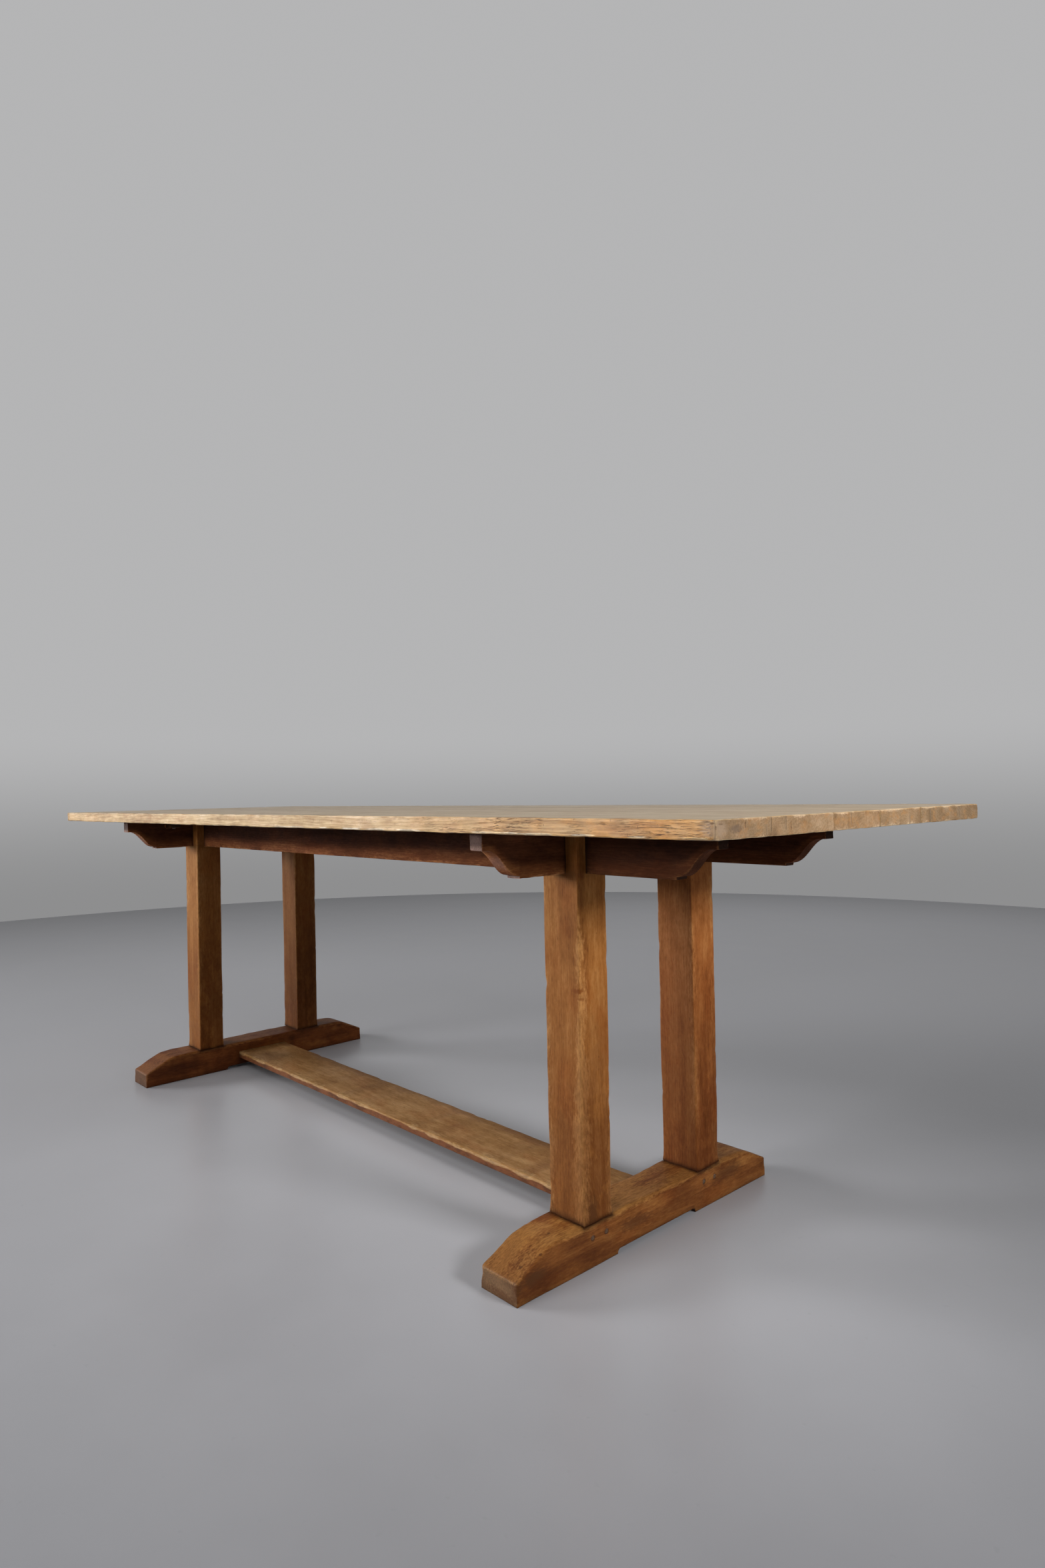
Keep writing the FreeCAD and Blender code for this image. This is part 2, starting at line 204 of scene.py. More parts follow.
def make_object(name, points, faces, layers=None):
    mesh = bpy.data.meshes.new(name)
    mesh.from_pydata(np.asarray(points).tolist(), [], [list(f) for f in faces])
    for title, values in (layers or {}).items():
        layer = mesh.attributes.new(title, "FLOAT", "POINT")
        layer.data.foreach_set("value", np.asarray(values, np.float32))
    piece = bpy.data.objects.new(name, mesh)
    bpy.context.scene.collection.objects.link(piece)
    return piece


def block(low, high):
    """Points and faces of a plain box, used only as a cutter or a tenon."""
    return skin(*[np.array([low[a], high[a]]) for a in AXES])


def upright_block(x, y, half, bottom, top):
    """Plain box round an upright line: half gives its half widths in X and Y."""
    return block([x - half[X], y - half[Y], bottom], [x + half[X], y + half[Y], top])


def joined(shells):
    """Several closed shells as one list of points and one of faces."""
    points, faces, start = [], [], 0
    for shell_points, shell_faces in shells:
        points.extend(np.asarray(shell_points).tolist())
        faces.extend([[int(i) + start for i in f] for f in shell_faces])
        start += len(shell_points)
    return points, faces


def carve(piece, shells, operation):
    """Cuts closed shells out of a piece, or joins them to it. They don't meet each other."""
    points, faces = joined(shells)
    # Faces that a cut leaves inside the piece are fully grimed: painted shade in mortises and
    # holes, and counted as rim
    inside = {"grime_and_contact_shade": np.ones(len(points)), "rim": np.ones(len(points))}
    tool = make_object(piece.name + "_tool", points, faces,
                       inside if operation == CUT else None)
    change = piece.modifiers.new("joint", "BOOLEAN")
    change.operation, change.solver, change.object = operation, "EXACT", tool
    graph = bpy.context.evaluated_depsgraph_get()
    mesh = bpy.data.meshes.new_from_object(piece.evaluated_get(graph))
    spent = (piece.data, tool.data)
    piece.modifiers.clear()
    piece.data = mesh
    bpy.data.objects.remove(tool)
    for old in spent:
        bpy.data.meshes.remove(old)
    mesh.name = piece.name


def tube(rings, sides, flip=False):
    """Quads between neighbouring rings that have the same number of points."""
    faces = []
    for ring in range(rings - 1):
        for i in range(sides):
            a, b = ring * sides + i, ring * sides + (i + 1) % sides
            faces.append([a, a + sides, b + sides, b] if flip else [a, b, b + sides, a + sides])
    return faces


def lathe(start, axis, profile, sides=16, uneven=0.0, seed=0):
    """Closed turned or whittled shape: profile gives places along axis with a radius."""
    shave = 1 - uneven * np.random.default_rng(seed).uniform(0, 1, sides)
    start, axis = Vector(start), Vector(axis)
    across = axis.orthogonal().normalized()
    other = axis.cross(across)
    points = []
    for place, radius in profile:
        for i in range(sides):
            angle = 2 * pi * i / sides
            out = (across * cos(angle) + other * sin(angle)) * (radius * shave[i])
            points.append(start + axis * place + out)
    first, last = range(sides), range(len(points) - sides, len(points))
    return points, tube(len(profile), sides) + [list(first)[::-1], list(last)]


def hole(start, axis, length, radius, sides=16):
    """Cutter for a round hole, a little wider than what goes in it."""
    radius = radius + HOLE_EASE
    return lathe(start, axis, [(0, radius), (length, radius)], sides)


def finish_piece(piece, slot, material, *nodes):
    """Shades a piece and ties it to the nodes that it stands for."""
    mesh = piece.data
    mesh.polygons.foreach_set("use_smooth", [True] * len(mesh.polygons))
    mesh.set_sharp_from_angle(angle=SMOOTH_ANGLE)
    mesh.materials.clear()
    mesh.materials.append(material)
    mesh.update()
    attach(piece, "root")
    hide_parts(*nodes)


def assemble(node, slot, material, points, faces, layers=None, cuts=(), stuff="_wood"):
    """Makes the piece of a node and cuts its joints, one group of shells after another."""
    piece = make_object(node + stuff, points, faces, layers)
    for shells, operation in cuts:
        carve(piece, shells, operation)
    finish_piece(piece, slot, material, node)


def box_of(node):
    low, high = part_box(node)
    return np.array(low), np.array(high)


def side_of(node, axis, way):
    """Where the box of a node ends along an axis, on its low or its high side."""
    return box_of(node)[way > 0][axis]


def middle_of(node):
    low, high = box_of(node)
    return (low + high) / 2


# ---- places that pieces share ----

TOP = [box_of("top_board_" + name) for name in BOARDS]
LAST_BOARD = len(BOARDS) - 1
JOINT_YS = [(TOP[i][1][Y] + TOP[i + 1][0][Y]) / 2 for i in range(LAST_BOARD)]
UNDERSIDE = TOP[0][0][Z]
MEMBER_BOTTOM = box_of("rail_front")[0][Z]
MEMBER_DEEP = UNDERSIDE - MEMBER_BOTTOM
FOOT_TOP = box_of("foot_right")[1][Z]
POST_FOOT = box_of("post_right_front")[0][Z]
TRESTLE_X = middle_of("foot_right")[X]
POST_Y = middle_of("post_right_back")[Y]
DOWEL_LOW = box_of("cross_dowels")[0][Z]
BUTTON_LOW = box_of("top_buttons")[0][Z]
SCREW_LOW, SCREW_HIGH = (box_of("button_screws")[i][Z] for i in (0, 1))
PEG_R, STRETCHER_PEG_R, DOWEL_R = 4.5 * MM, 4 * MM, 5 * MM
PEG_YS = [side * POST_Y + offset for side in (FRONT, BACK)
          for offset in (-PEG_SPACING / 2, PEG_SPACING / 2)]
BUTTON_HALF, BUTTON_BODY, BUTTON_TONGUE, BUTTON_EASE = 15 * MM, 24 * MM, 9 * MM, 1.2 * MM
BUTTON_LIP, BUTTON_SEAT, BUTTON_SLOT_HALF = 10.5 * MM, 0.5 * MM, 18 * MM
SCREW_R, SCREW_HEAD_R, SCREW_FROM_FACE = 2.25 * MM, 4.5 * MM, 11 * MM
SCREW_SLOT_HALF, THREAD_PITCH = np.array([6, 0.6]) * MM, 1.8 * MM
BUTTON_YS = (-250 * MM, -75 * MM, 75 * MM, 250 * MM)


def button_places():
    """Point on the member's face under the top, and the way the button stands out."""
    places = []
    for name, end in ENDS.items():
        x = side_of("bearer_" + name, X, -end)
        places += [(Vector((x, y, UNDERSIDE)), Vector((-end, 0, 0))) for y in BUTTON_YS]
    for name, side in SIDES.items():
        y = side_of("rail_" + name, Y, -side)
        places.append((Vector((0, y, UNDERSIDE)), Vector((0, -side, 0))))
    return places


def screw_places(z):
    """Where the screws' middle lines pass a height."""
    spots = [face + out * SCREW_FROM_FACE for face, out in button_places()]
    return [Vector((spot.x, spot.y, z)) for spot in spots]


def post_box(end_name, side_name):
    """The shaft of a post, above the foot."""
    low, high = box_of("post_%s_%s" % (end_name, side_name))
    return np.array([low[X], low[Y], FOOT_TOP]), high


def slot_across(low, high, node, axis, bottom, top):
    """Slot through a box for the rail or bearer that crosses it."""
    other_low, other_high = box_of(node)
    a, b = low - MM, high + MM
    a[axis], b[axis] = other_low[axis] - FIT, other_high[axis] + FIT
    a[Z], b[Z] = bottom, top
    return block(a, b)


def from_posts(points):
    """Distance from each point to the shaft of the nearest post."""
    found = np.full(len(points), 1.0)
    for low, high in [post_box(end, side) for end in ENDS for side in SIDES]:
        gap = np.maximum(np.maximum(low - points, points - high), 0)
        found = np.minimum(found, np.linalg.norm(gap, axis=1))
    return found


# ---- top boards ----

def plan_corners(points, low, high, outer_y, radius):
    """Rounds, seen from above, the two corners at the outer edge of an outer board."""
    moved = points.copy()
    for end_x in (low[X], high[X]):
        corner = np.array([end_x, outer_y])
        centre = corner - np.sign(corner) * radius
        out = moved[:, :2] - centre
        inside = (out * np.sign(corner) > 0).all(1)
        length = np.maximum(np.linalg.norm(out, axis=1), TINY)
        scaled = centre + out * (np.abs(out).max(1) / length)[:, None]
        moved[inside, :2] = scaled[inside]
    return moved


def rim_nicks(rng, low, high, side, width=4 * MM, depth=1.6 * MM):
    """Random nicks along the upper and lower arris of one long edge."""
    marks = []
    for _ in range(RIM_NICKS):
        z = high[Z] if rng.random() < 0.35 else low[Z]
        place = [rng.uniform(low[X], high[X]), side, z]
        size = [width * rng.uniform(0.6, 3.0), width, width * rng.uniform(0.4, 0.9)]
        marks.append((place, size, depth * rng.uniform(0.4, 1.0)))
    return marks


def corner_knocks(rng, low, high, side):
    """Random knocks on the two upright corners of one long edge."""
    marks = []
    for _ in range(CORNER_KNOCKS):
        end_x = rng.choice([low[X], high[X]])
        back = np.abs(rng.normal(0, 7, 2)) * MM * [-np.sign(end_x), -np.sign(side)]
        along = rng.random() < 0.5
        place = [end_x + back[0] * along, side + back[1] * (not along),
                 rng.uniform(low[Z], high[Z])]
        marks.append((place, rng.uniform(2.5, 5.5, 3) * MM, rng.uniform(0.4, 1.5) * MM))
    return marks


def top_board(name, number, material):
    """One board of the top: worn at the outer edges, crisp at the joints."""
    low, high = TOP[number]
    rng = np.random.default_rng(300 + number)
    inset = [BOARD_INSETS[number], 0, 0]
    low, high = low + inset, high - inset
    outer_y = {0: low[Y], LAST_BOARD: high[Y]}.get(number)
    outer = outer_y is not None
    points, quads = box_skin(low, high, (7, 7, 5))
    x, y, _ = points.T
    at_outer = rise(-np.abs(y - outer_y), -30 * MM, -12 * MM) if outer else 0.0
    at_end = rise(np.abs(x), high[X] - 30 * MM, high[X] - 12 * MM)
    rim = np.maximum(at_outer, at_end)
    rough = swell(points, (0.05, 0.05, 0.05), 310 + number)
    radius = (0.7 + rim * (1.9 + (0.9 - 0.6 * at_end) * rough)) * MM
    cup = 0.25 + 0.25 * swell(points, (0.7, 0.11, 1), 320 + number)
    depth = unit(cup) * 0.5 * MM * (1 - rim * 0.7)
    depth = depth + rim * unit(swell(points, (0.06, 0.02, 0.02), 330 + number)) * 0.5 * MM
    if outer:
        depth = depth + dents(points, rim_nicks(rng, low, high, outer_y))
        depth = depth + dents(points, corner_knocks(rng, low, high, outer_y))
    shaped = worn(points, low, high, np.maximum(radius, 0.4 * MM), depth)
    if outer:
        corner_r = CORNER_R if number == 0 else CORNER_R / 2
        shaped = plan_corners(shaped, low, high, outer_y, corner_r)
    layers = board_layers(points, low, high, outer_y, rough)
    assemble("top_board_" + name, "top_wood", material, shaped, quads, layers,
             [(board_joinery(number, low, high), CUT)])


def board_layers(points, low, high, outer_y, rough):
    """Rubbing along the outer arrises of a board, dirt along its joints."""
    x, y, z = points.T
    from_end = high[X] - np.abs(x)
    from_rim, corner, chip_and_highlight = from_end, 0, 0
    from_joint = np.minimum(y - low[Y], high[Y] - y)
    if outer_y is not None:
        from_outer = np.abs(y - outer_y)
        from_rim = np.minimum(from_end, from_outer)
        from_joint = (high[Y] - low[Y]) - from_outer
        corner = fade(np.maximum(from_end, from_outer), 16 * MM)
        chip_and_highlight = 1.5 * rise(x, -0.6, 1.0) * rise(rough, -0.6, 0.7)
    edge = np.maximum(np.minimum(z - low[Z], high[Z] - z), from_rim)
    on_rim = fade(from_rim, 1.5 * MM)
    lower_arris_band = bell(z - low[Z] - 2.4 * MM, 1.5 * MM)
    dirt = 0.5 * corner + rise(x, 0.3, 1.25) + 0.3 * fade(from_end, 0.25) * (x < 0)
    return {
        "wear": fade(edge, 3.5 * MM) * unit(0.65 + 0.5 * rough),
        "grime_and_contact_shade": fade(from_joint, 1.4 * MM) * np.where(from_end < 3 * MM, 0.4, 0.9),
        "rim": on_rim,
        # Pale band along the lower front arris: chipped wood, and a painted highlight
        "lip": (from_end > 12 * MM) * on_rim * chip_and_highlight * lower_arris_band,
        "soil_and_shade": on_rim * (from_end > 4 * MM) * np.minimum(dirt, 1),
    }


def board_joinery(number, low, high):
    """Grooves for the loose tongues, screw holes, and splits in the ends of the board."""
    cutters = []
    tongue_low, tongue_high = box_of("board_tongues")
    half = TONGUE_HALF + FIT
    for joint, y in enumerate(JOINT_YS):
        if joint in (number - 1, number):
            cutters.append(block([tongue_low[X] - FIT, y - half, tongue_low[Z] - FIT],
                                 [tongue_high[X] + FIT, y + half, tongue_high[Z] + FIT]))
    for below in screw_places(UNDERSIDE - 5 * MM):
        if low[Y] < below.y < high[Y]:
            cutters.append(hole(below, UP, SCREW_HIGH - below.z + 0.1 * MM, SCREW_R, 8))
    return cutters + board_splits(number, low, high)


def board_splits(number, low, high):
    """Thin tapered splits that open at both ends of a board."""
    rng = np.random.default_rng(340 + number)
    splits = []
    for end, end_x in ((LEFT, low[X]), (RIGHT, high[X])):
        for _ in range(3 if number in (0, LAST_BOARD) else 1):
            y = rng.uniform(low[Y] + 25 * MM, high[Y] - 25 * MM)
            tall = rng.uniform(0.35, 0.9) * BOARD_THICK
            bottom = rng.uniform(low[Z] - MM, high[Z] - tall)
            width, deep = rng.uniform(0.25, 0.5) * MM, rng.uniform(6, 14) * MM
            mouth = end_x + end * MM
            plan = ((mouth, y + end * width), (mouth, y - end * width), (end_x - end * deep, y))
            points = [[*spot, z] for z in (bottom, bottom + tall) for spot in plan]
            splits.append((points, [[0, 1, 2], [3, 5, 4], [1, 0, 3, 4], [2, 1, 4, 5],
                                    [0, 2, 5, 3]]))
    return splits


def tongues(material):
    """The three loose tongues in the joints between the boards."""
    low, high = box_of("board_tongues")
    shells = []
    for y in JOINT_YS:
        a = np.array([low[X], y - TONGUE_HALF, low[Z]])
        b = np.array([high[X], y + TONGUE_HALF, high[Z]])
        points, quads = box_skin(a, b, (40, 4, 2))
        shells.append((round_off(points, a, b, 0.8 * MM), quads))
    assemble("board_tongues", "peg_wood", material, *joined(shells))


# ---- rails and bearers ----

def member_depth(from_end):
    """Depth of a rail or bearer below the top, along the ogee and past it."""
    t = np.linspace(0, 1, 60)
    run = (OGEE_FLAT * (1 - t) ** 3 + 3 * (OGEE_FLAT + OGEE_HANDLE) * t * (1 - t) ** 2
           + 3 * (OGEE_END - OGEE_HANDLE) * t ** 2 * (1 - t) + OGEE_END * t ** 3)
    deep = MEMBER_END_DEEP + (MEMBER_DEEP - OGEE_STEP - MEMBER_END_DEEP) * t * t * (3 - 2 * t)
    depth = np.where(from_end < OGEE_FLAT, MEMBER_END_DEEP, np.interp(from_end, run, deep))
    return np.where(from_end > OGEE_END + 0.03 * MM, MEMBER_DEEP, depth)


def member(node, axis, seed, material):
    """Rail or bearer: straight on top, its soffit running out in an ogee at each end."""
    low, high = box_of(node)
    extra = np.concatenate([np.arange(OGEE_FLAT, OGEE_END, 1.6 * MM),
                            [OGEE_END, OGEE_END + 0.06 * MM, OGEE_END + 0.8 * MM]])
    extra = np.concatenate([low[axis] + extra, high[axis] - extra])
    steps = [7 if a == axis else 6 for a in AXES]
    points, quads = box_skin(low, high, steps, axis, extra)
    edge, from_top = edge_distance(points, low, high), high[Z] - points[:, Z]
    lower = rise(from_top, 0.3 * MEMBER_DEEP, 0.8 * MEMBER_DEEP)
    rough = swell(points, (0.05, 0.05, 0.05), seed)
    radius = (0.8 + lower * (1.4 + 0.9 * rough)) * MM
    long_size = [0.25 if a == axis else 0.06 for a in AXES]
    depth = unit(0.3 + 0.3 * swell(points, long_size, seed + 1)) * 0.4 * MM
    depth *= rise(from_top, 0, 4 * MM)
    depth = depth + dents(points, member_knocks(axis, low, high, seed + 2))
    shaped = worn(points, low, high, np.maximum(radius, 0.5 * MM), depth)
    from_end = np.minimum(points[:, axis] - low[axis], high[axis] - points[:, axis])
    share = member_depth(from_end) / MEMBER_DEEP
    shaped[:, Z] = high[Z] - (high[Z] - shaped[:, Z]) * share
    layers = {
        "wear": lower * fade(edge, 4 * MM) * unit(0.6 + 0.5 * rough),
        # Darker where the member passes the posts: dirt and painted contact shade
        "grime_and_contact_shade": fade(from_posts(points), 5 * MM),
        # Painted shade of the table top
        "soil_and_shade": member_painted_shade(axis, points, low),
    }
    assemble(node, "rail_wood", material, shaped, quads, layers,
             [(cutters, CUT) for cutters in member_joinery(axis, low, high)])


def member_knocks(axis, low, high, seed):
    """Random knocks along the lower arrises."""
    rng = np.random.default_rng(seed)
    marks = []
    for _ in range(MEMBER_KNOCKS):
        place = np.array([rng.choice([low[a], high[a]]) for a in AXES])
        place[axis] = rng.uniform(low[axis], high[axis])
        place[Z] = low[Z]
        marks.append((place, rng.uniform(3, 7) * MM, rng.uniform(0.5, 1.3) * MM))
    return marks


def member_painted_shade(axis, points, low):
    """Painted shade: darker towards the top, where the table top shades it, and all over a rail
    beyond the trestles, under the overhang.
    """
    between = rise(TRESTLE_X - np.abs(points[:, X]), 0, 80 * MM) if axis == X else 0.0
    up = (points[:, Z] - low[Z]) / MEMBER_DEEP
    beyond = 0.55 * (1 - between) if axis == X else 0
    return np.maximum(rise(up, 0.01 + 0.09 * between, 0.4 + 0.05 * between), beyond)


def member_joinery(axis, low, high):
    """Halvings and button mortises, and then the dowel holes beyond the halvings."""
    middle, bearer_middle = MEMBER_BOTTOM + MEMBER_DEEP / 2, UNDERSIDE - MEMBER_DEEP / 2
    if axis == X:
        crossing, notch = ("bearer_left", "bearer_right"), (MEMBER_BOTTOM - MM, middle)
        start, stop = middle - 0.5 * MM, UNDERSIDE + MM
    else:
        crossing, notch = ("rail_front", "rail_back"), (bearer_middle, UNDERSIDE + MM)
        start, stop = DOWEL_LOW - MM, bearer_middle + 0.5 * MM
    cutters, dowels = [], []
    for other in crossing:
        cutters.append(slot_across(low, high, other, axis, *notch))
        x, y, _ = [(middle_of(other) if a == axis else (low + high) / 2)[a] for a in AXES]
        dowels.append(hole((x, y, start), UP, stop - start, DOWEL_R))
    for face, out in button_places():
        inside = face - out * MM
        if all(low[a] - TINY < inside[a] < high[a] + TINY for a in (X, Y)):
            cutters.append(button_mortise(face, out))
    return cutters, dowels


def button_mortise(face, out):
    """Slot in a member's face that a button's tongue slides in."""
    side = Vector((-out.y, out.x, 0))
    deep = BUTTON_TONGUE + BUTTON_SEAT
    corners = [face - out * deep + side * BUTTON_SLOT_HALF,
               face + out * MM - side * BUTTON_SLOT_HALF]
    low, high = ([pick(c[a] for c in corners) for a in (X, Y)] for pick in (min, max))
    return block(low + [BUTTON_LOW - FIT], high + [UNDERSIDE - BUTTON_LIP + FIT])


# ---- posts ----

def post(end_name, side_name, seed, material, marks=()):
    """Post with hand-worn arrises, a tenon below and a cross bridle above."""
    end, side = ENDS[end_name], SIDES[side_name]
    low, high = post_box(end_name, side_name)
    points, quads = box_skin(low, high, (6, 6, 5))
    x, y, z = points.T
    centre = (low + high) / 2
    down = 1 - (z - low[Z]) / (MEMBER_BOTTOM - low[Z])
    outside = 0.5 + 0.25 * (np.sign(x - centre[X]) * end + np.sign(y - centre[Y]) * side)
    below = rise(MEMBER_BOTTOM + 10 * MM - z, -30 * MM, 40 * MM)
    rough = swell(points, (0.05, 0.05, 0.09), seed)
    slow = swell(points, (0.1, 0.1, 0.22), seed + 1)
    radius = 1.5 + below * (0.5 + 0.5 * slow + 0.35 * rough + outside * (0.6 + 2.6 * down))
    radius = np.clip(radius, 1.0, 7.5) * MM
    radius = radius * np.clip((z - low[Z]) / (20 * MM), 0.12, 1)
    hollow = unit(0.35 + 0.35 * slow + 0.15 * rough, 1.2) * 0.7 * MM * below
    hollow *= rise(z - low[Z], 0, 12 * MM)
    marks = post_knocks(low, high, seed + 2) + list(marks)
    shaped = worn(points, low, high, radius, hollow + dents(points, marks))

    aside_x, aside_y, _ = np.minimum(points - low, high - points).T
    strip = (4.5 + 18 * unit(2.2 * down + 0.1 + 0.3 * slow) * outside) * MM
    on_x = rise(aside_y - aside_x, 0, 6 * MM)
    low_down = 1 - rise(z, FOOT_TOP, FOOT_TOP + 0.55)
    rubbed = below * bell(np.maximum(aside_x, aside_y), strip)
    layers = {
        "wear": rubbed * unit(0.75 + 0.35 * slow + 0.25 * rough),
        # Darker at the post's foot and just under the members: dirt and painted contact shade
        "grime_and_contact_shade": np.maximum(bell(z - low[Z], 5 * MM),
                            0.6 * fade(np.abs(z - MEMBER_BOTTOM), 4 * MM)),
        # Darker towards the foot; more on the +X faces, and on the left posts' upper +X faces, as
        # painted shade
        "soil_and_shade": low_down * (0.9 + 0.6 * on_x) + (end == LEFT) * 0.4 * on_x * (1 - low_down),
    }
    assemble("post_%s_%s" % (end_name, side_name), "post_wood", material, shaped, quads, layers,
             post_joinery(end_name, side_name, low, high))


def post_knocks(low, high, seed):
    """Random knocks on the upright arrises."""
    rng = np.random.default_rng(seed)
    return [([rng.choice([low[X], high[X]]), rng.choice([low[Y], high[Y]]),
              rng.uniform(low[Z], MEMBER_BOTTOM)],
             np.array([5, 5, rng.uniform(3, 14)]) * MM, rng.uniform(0.3, 1.3) * MM)
            for _ in range(POST_KNOCKS)]


def post_joinery(end_name, side_name, low, high):
    """The tenon, the slots for bearer and rail, and the peg holes."""
    x, y, _ = (low + high) / 2
    tenon = upright_block(x, y, POST_TENON / 2, POST_FOOT, FOOT_TOP + 12 * MM)
    slots = [[slot_across(low, high, node, axis, MEMBER_BOTTOM, UNDERSIDE + MM)]
             for node, axis in (("bearer_" + end_name, X), ("rail_" + side_name, Y))]
    start = DOWEL_LOW - 0.1 * MM
    holes = [hole((x, y, start), UP, MEMBER_BOTTOM - DOWEL_LOW + 2 * MM, DOWEL_R)]
    holes += [draw_peg_hole(end_name, peg_y) for peg_y in PEG_YS if low[Y] < peg_y < high[Y]]
    return [([tenon], JOIN)] + [(cutters, CUT) for cutters in (*slots, holes)]


def draw_peg_start(end_name):
    """Outer end, height and length of a foot's draw pegs."""
    low, high = box_of("draw_pegs_" + end_name)
    outer = high[X] if end_name == "right" else low[X]
    return outer, (low[Z] + high[Z]) / 2, high[X] - low[X]


def draw_peg_hole(end_name, y):
    end = ENDS[end_name]
    outer, z, length = draw_peg_start(end_name)
    return hole((outer + end * MM, y, z), (-end, 0, 0), length + 1.1 * MM, PEG_R)


# ---- feet ----

def foot(end_name, seed, material):
    """Sledge foot: sloped ends, a hollow underneath, arrises rounded by shoes."""
    low, high = box_of("foot_" + end_name)
    half = high[Y]
    shoulder = half - FOOT_SLOPE + FOOT_EASE
    extra = np.concatenate([np.linspace(0, RELIEF_HIGH, 7), [-0.5 * MM, 0.5 * MM]])
    extra = np.concatenate([RELIEF_HALF - extra, shoulder + np.array([-6, -3, 0, 3, 6]) * MM])
    points, quads = box_skin(low, high, (6, 5, 6), Y, np.concatenate([extra, -extra]))
    y, z = points[:, Y], points[:, Z]
    upper = rise(z, 0.25 * high[Z], 0.7 * high[Z])
    rough = swell(points, (0.045, 0.05, 0.045), seed)
    slow = swell(points, (0.12, 0.2, 0.12), seed + 1)
    at_end = 1 - rise(half - np.abs(y), 3 * MM, 30 * MM)
    radius = 1.2 + upper * (1 - 0.5 * at_end) * (6.4 + 1.9 * slow + 1.4 * rough)
    hollow = unit(0.35 + 0.35 * slow + 0.2 * rough, 1.2) * 0.6 * MM
    seat = rise(from_posts(points), 0, 10 * MM) * (1 - 0.8 * at_end)
    depth = seat * (hollow + dents(points, foot_knocks(low, high, seed + 2)))
    shaped = worn(points, low, high, np.clip(radius, 0.8, 11) * MM, depth)
    shaped[:, Z] = foot_height(shaped[:, Y], shaped[:, Z] / high[Z], shoulder, high[Z])

    on_top = rise(z, high[Z] - 9 * MM, high[Z] - MM)
    rubbed = upper * bell(edge_distance(points, low, high), 9 * MM)
    patchy = unit(0.25 + 0.6 * rough + 0.2 * slow + 0.3 * rise(y, 0, 0.2))
    front_tip = 0.5 * (1 - rise(y, -0.32, -0.25))
    layers = {
        "wear": np.maximum(rubbed, on_top) * unit(0.8 + 0.3 * slow + 0.2 * rough),
        # Darker round the posts and along the floor: dirt and painted contact shade
        "grime_and_contact_shade": np.maximum(bell(from_posts(points), 6 * MM), 0.8 * fade(z, 5 * MM)),
        # Darker in patches on the sides and at the front tip, more towards the back as painted
        # shade under the table; the back half of the upper face is painted shade too
        "soil_and_shade": np.maximum(unit(1 - 1.6 * on_top) * patchy,
                           np.maximum(0.75 * on_top * rise(y, -0.1, 0.1), front_tip)),
    }
    assemble("foot_" + end_name, "foot_wood", material, shaped, quads, layers,
             [(cutters, CUT) for cutters in foot_joinery(end_name, low, high)])


def foot_knocks(low, high, seed):
    """Random knocks along the two upper arrises."""
    rng = np.random.default_rng(seed)
    return [([rng.choice([low[X], high[X]]), rng.uniform(low[Y], high[Y]), high[Z]],
             np.array([4, rng.uniform(3, 12), 4]) * MM, rng.uniform(0.5, 1.8) * MM)
            for _ in range(FOOT_KNOCKS)]


def foot_height(y, share, shoulder, high):
    """Height of a point of the foot: share runs from its soffit to its upper face."""
    past = np.abs(y) - shoulder
    slope = (high - FOOT_END_HIGH) / (FOOT_SLOPE - FOOT_EASE)
    drop = slope * 0.5 * (past + np.sqrt(np.square(past) + FOOT_SOFT ** 2) - FOOT_SOFT * 0.1)
    top = high - unit(drop, high - FOOT_END_HIGH)
    inside = unit(RELIEF_HALF - np.abs(y), RELIEF_HIGH)
    soffit = np.sqrt(np.maximum(np.square(RELIEF_HIGH) - np.square(RELIEF_HIGH - inside), 0))
    return soffit + share * (top - soffit)


def foot_joinery(end_name, low, high):
    """Mortises for two posts and the stretcher, and then the peg holes."""
    end = ENDS[end_name]
    x, inner = (low[X] + high[X]) / 2, side_of("foot_" + end_name, X, -end)
    cutters = [upright_block(x, side * POST_Y, POST_TENON / 2 + FIT, POST_FOOT - 0.5 * MM,
                             FOOT_TOP + 2 * MM) for side in (FRONT, BACK)]
    cutters.append(stretcher_tenon(end, end * 0.5 * MM, inner - end * 2 * MM, FIT))
    pegs = [draw_peg_hole(end_name, y) for y in PEG_YS]
    return cutters, pegs + [stretcher_peg_hole(end, 2 * MM, 2.1 * MM)]


# ---- stretcher ----

def stretcher_tenon(end, past, root_x, ease=0.0):
    """The stretcher's tenon at one end, or with some ease and past its tip the mortise."""
    z, tip = middle_of("stretcher")[Z], side_of("stretcher", X, end) + past
    wide, thick = STRETCHER_TENON / 2 + ease
    return block([min(tip, root_x), -wide, z - thick], [max(tip, root_x), wide, z + thick])


def stretcher_peg_x(end):
    return side_of("stretcher_pegs", X, end) - end * STRETCHER_PEG_R


def stretcher_peg_hole(end, below, longer):
    """Upright hole that starts some way below a stretcher peg and is longer than it."""
    low, high = box_of("stretcher_pegs")
    return hole((stretcher_peg_x(end), 0, low[Z] - below), UP, high[Z] - low[Z] + longer,
                STRETCHER_PEG_R)


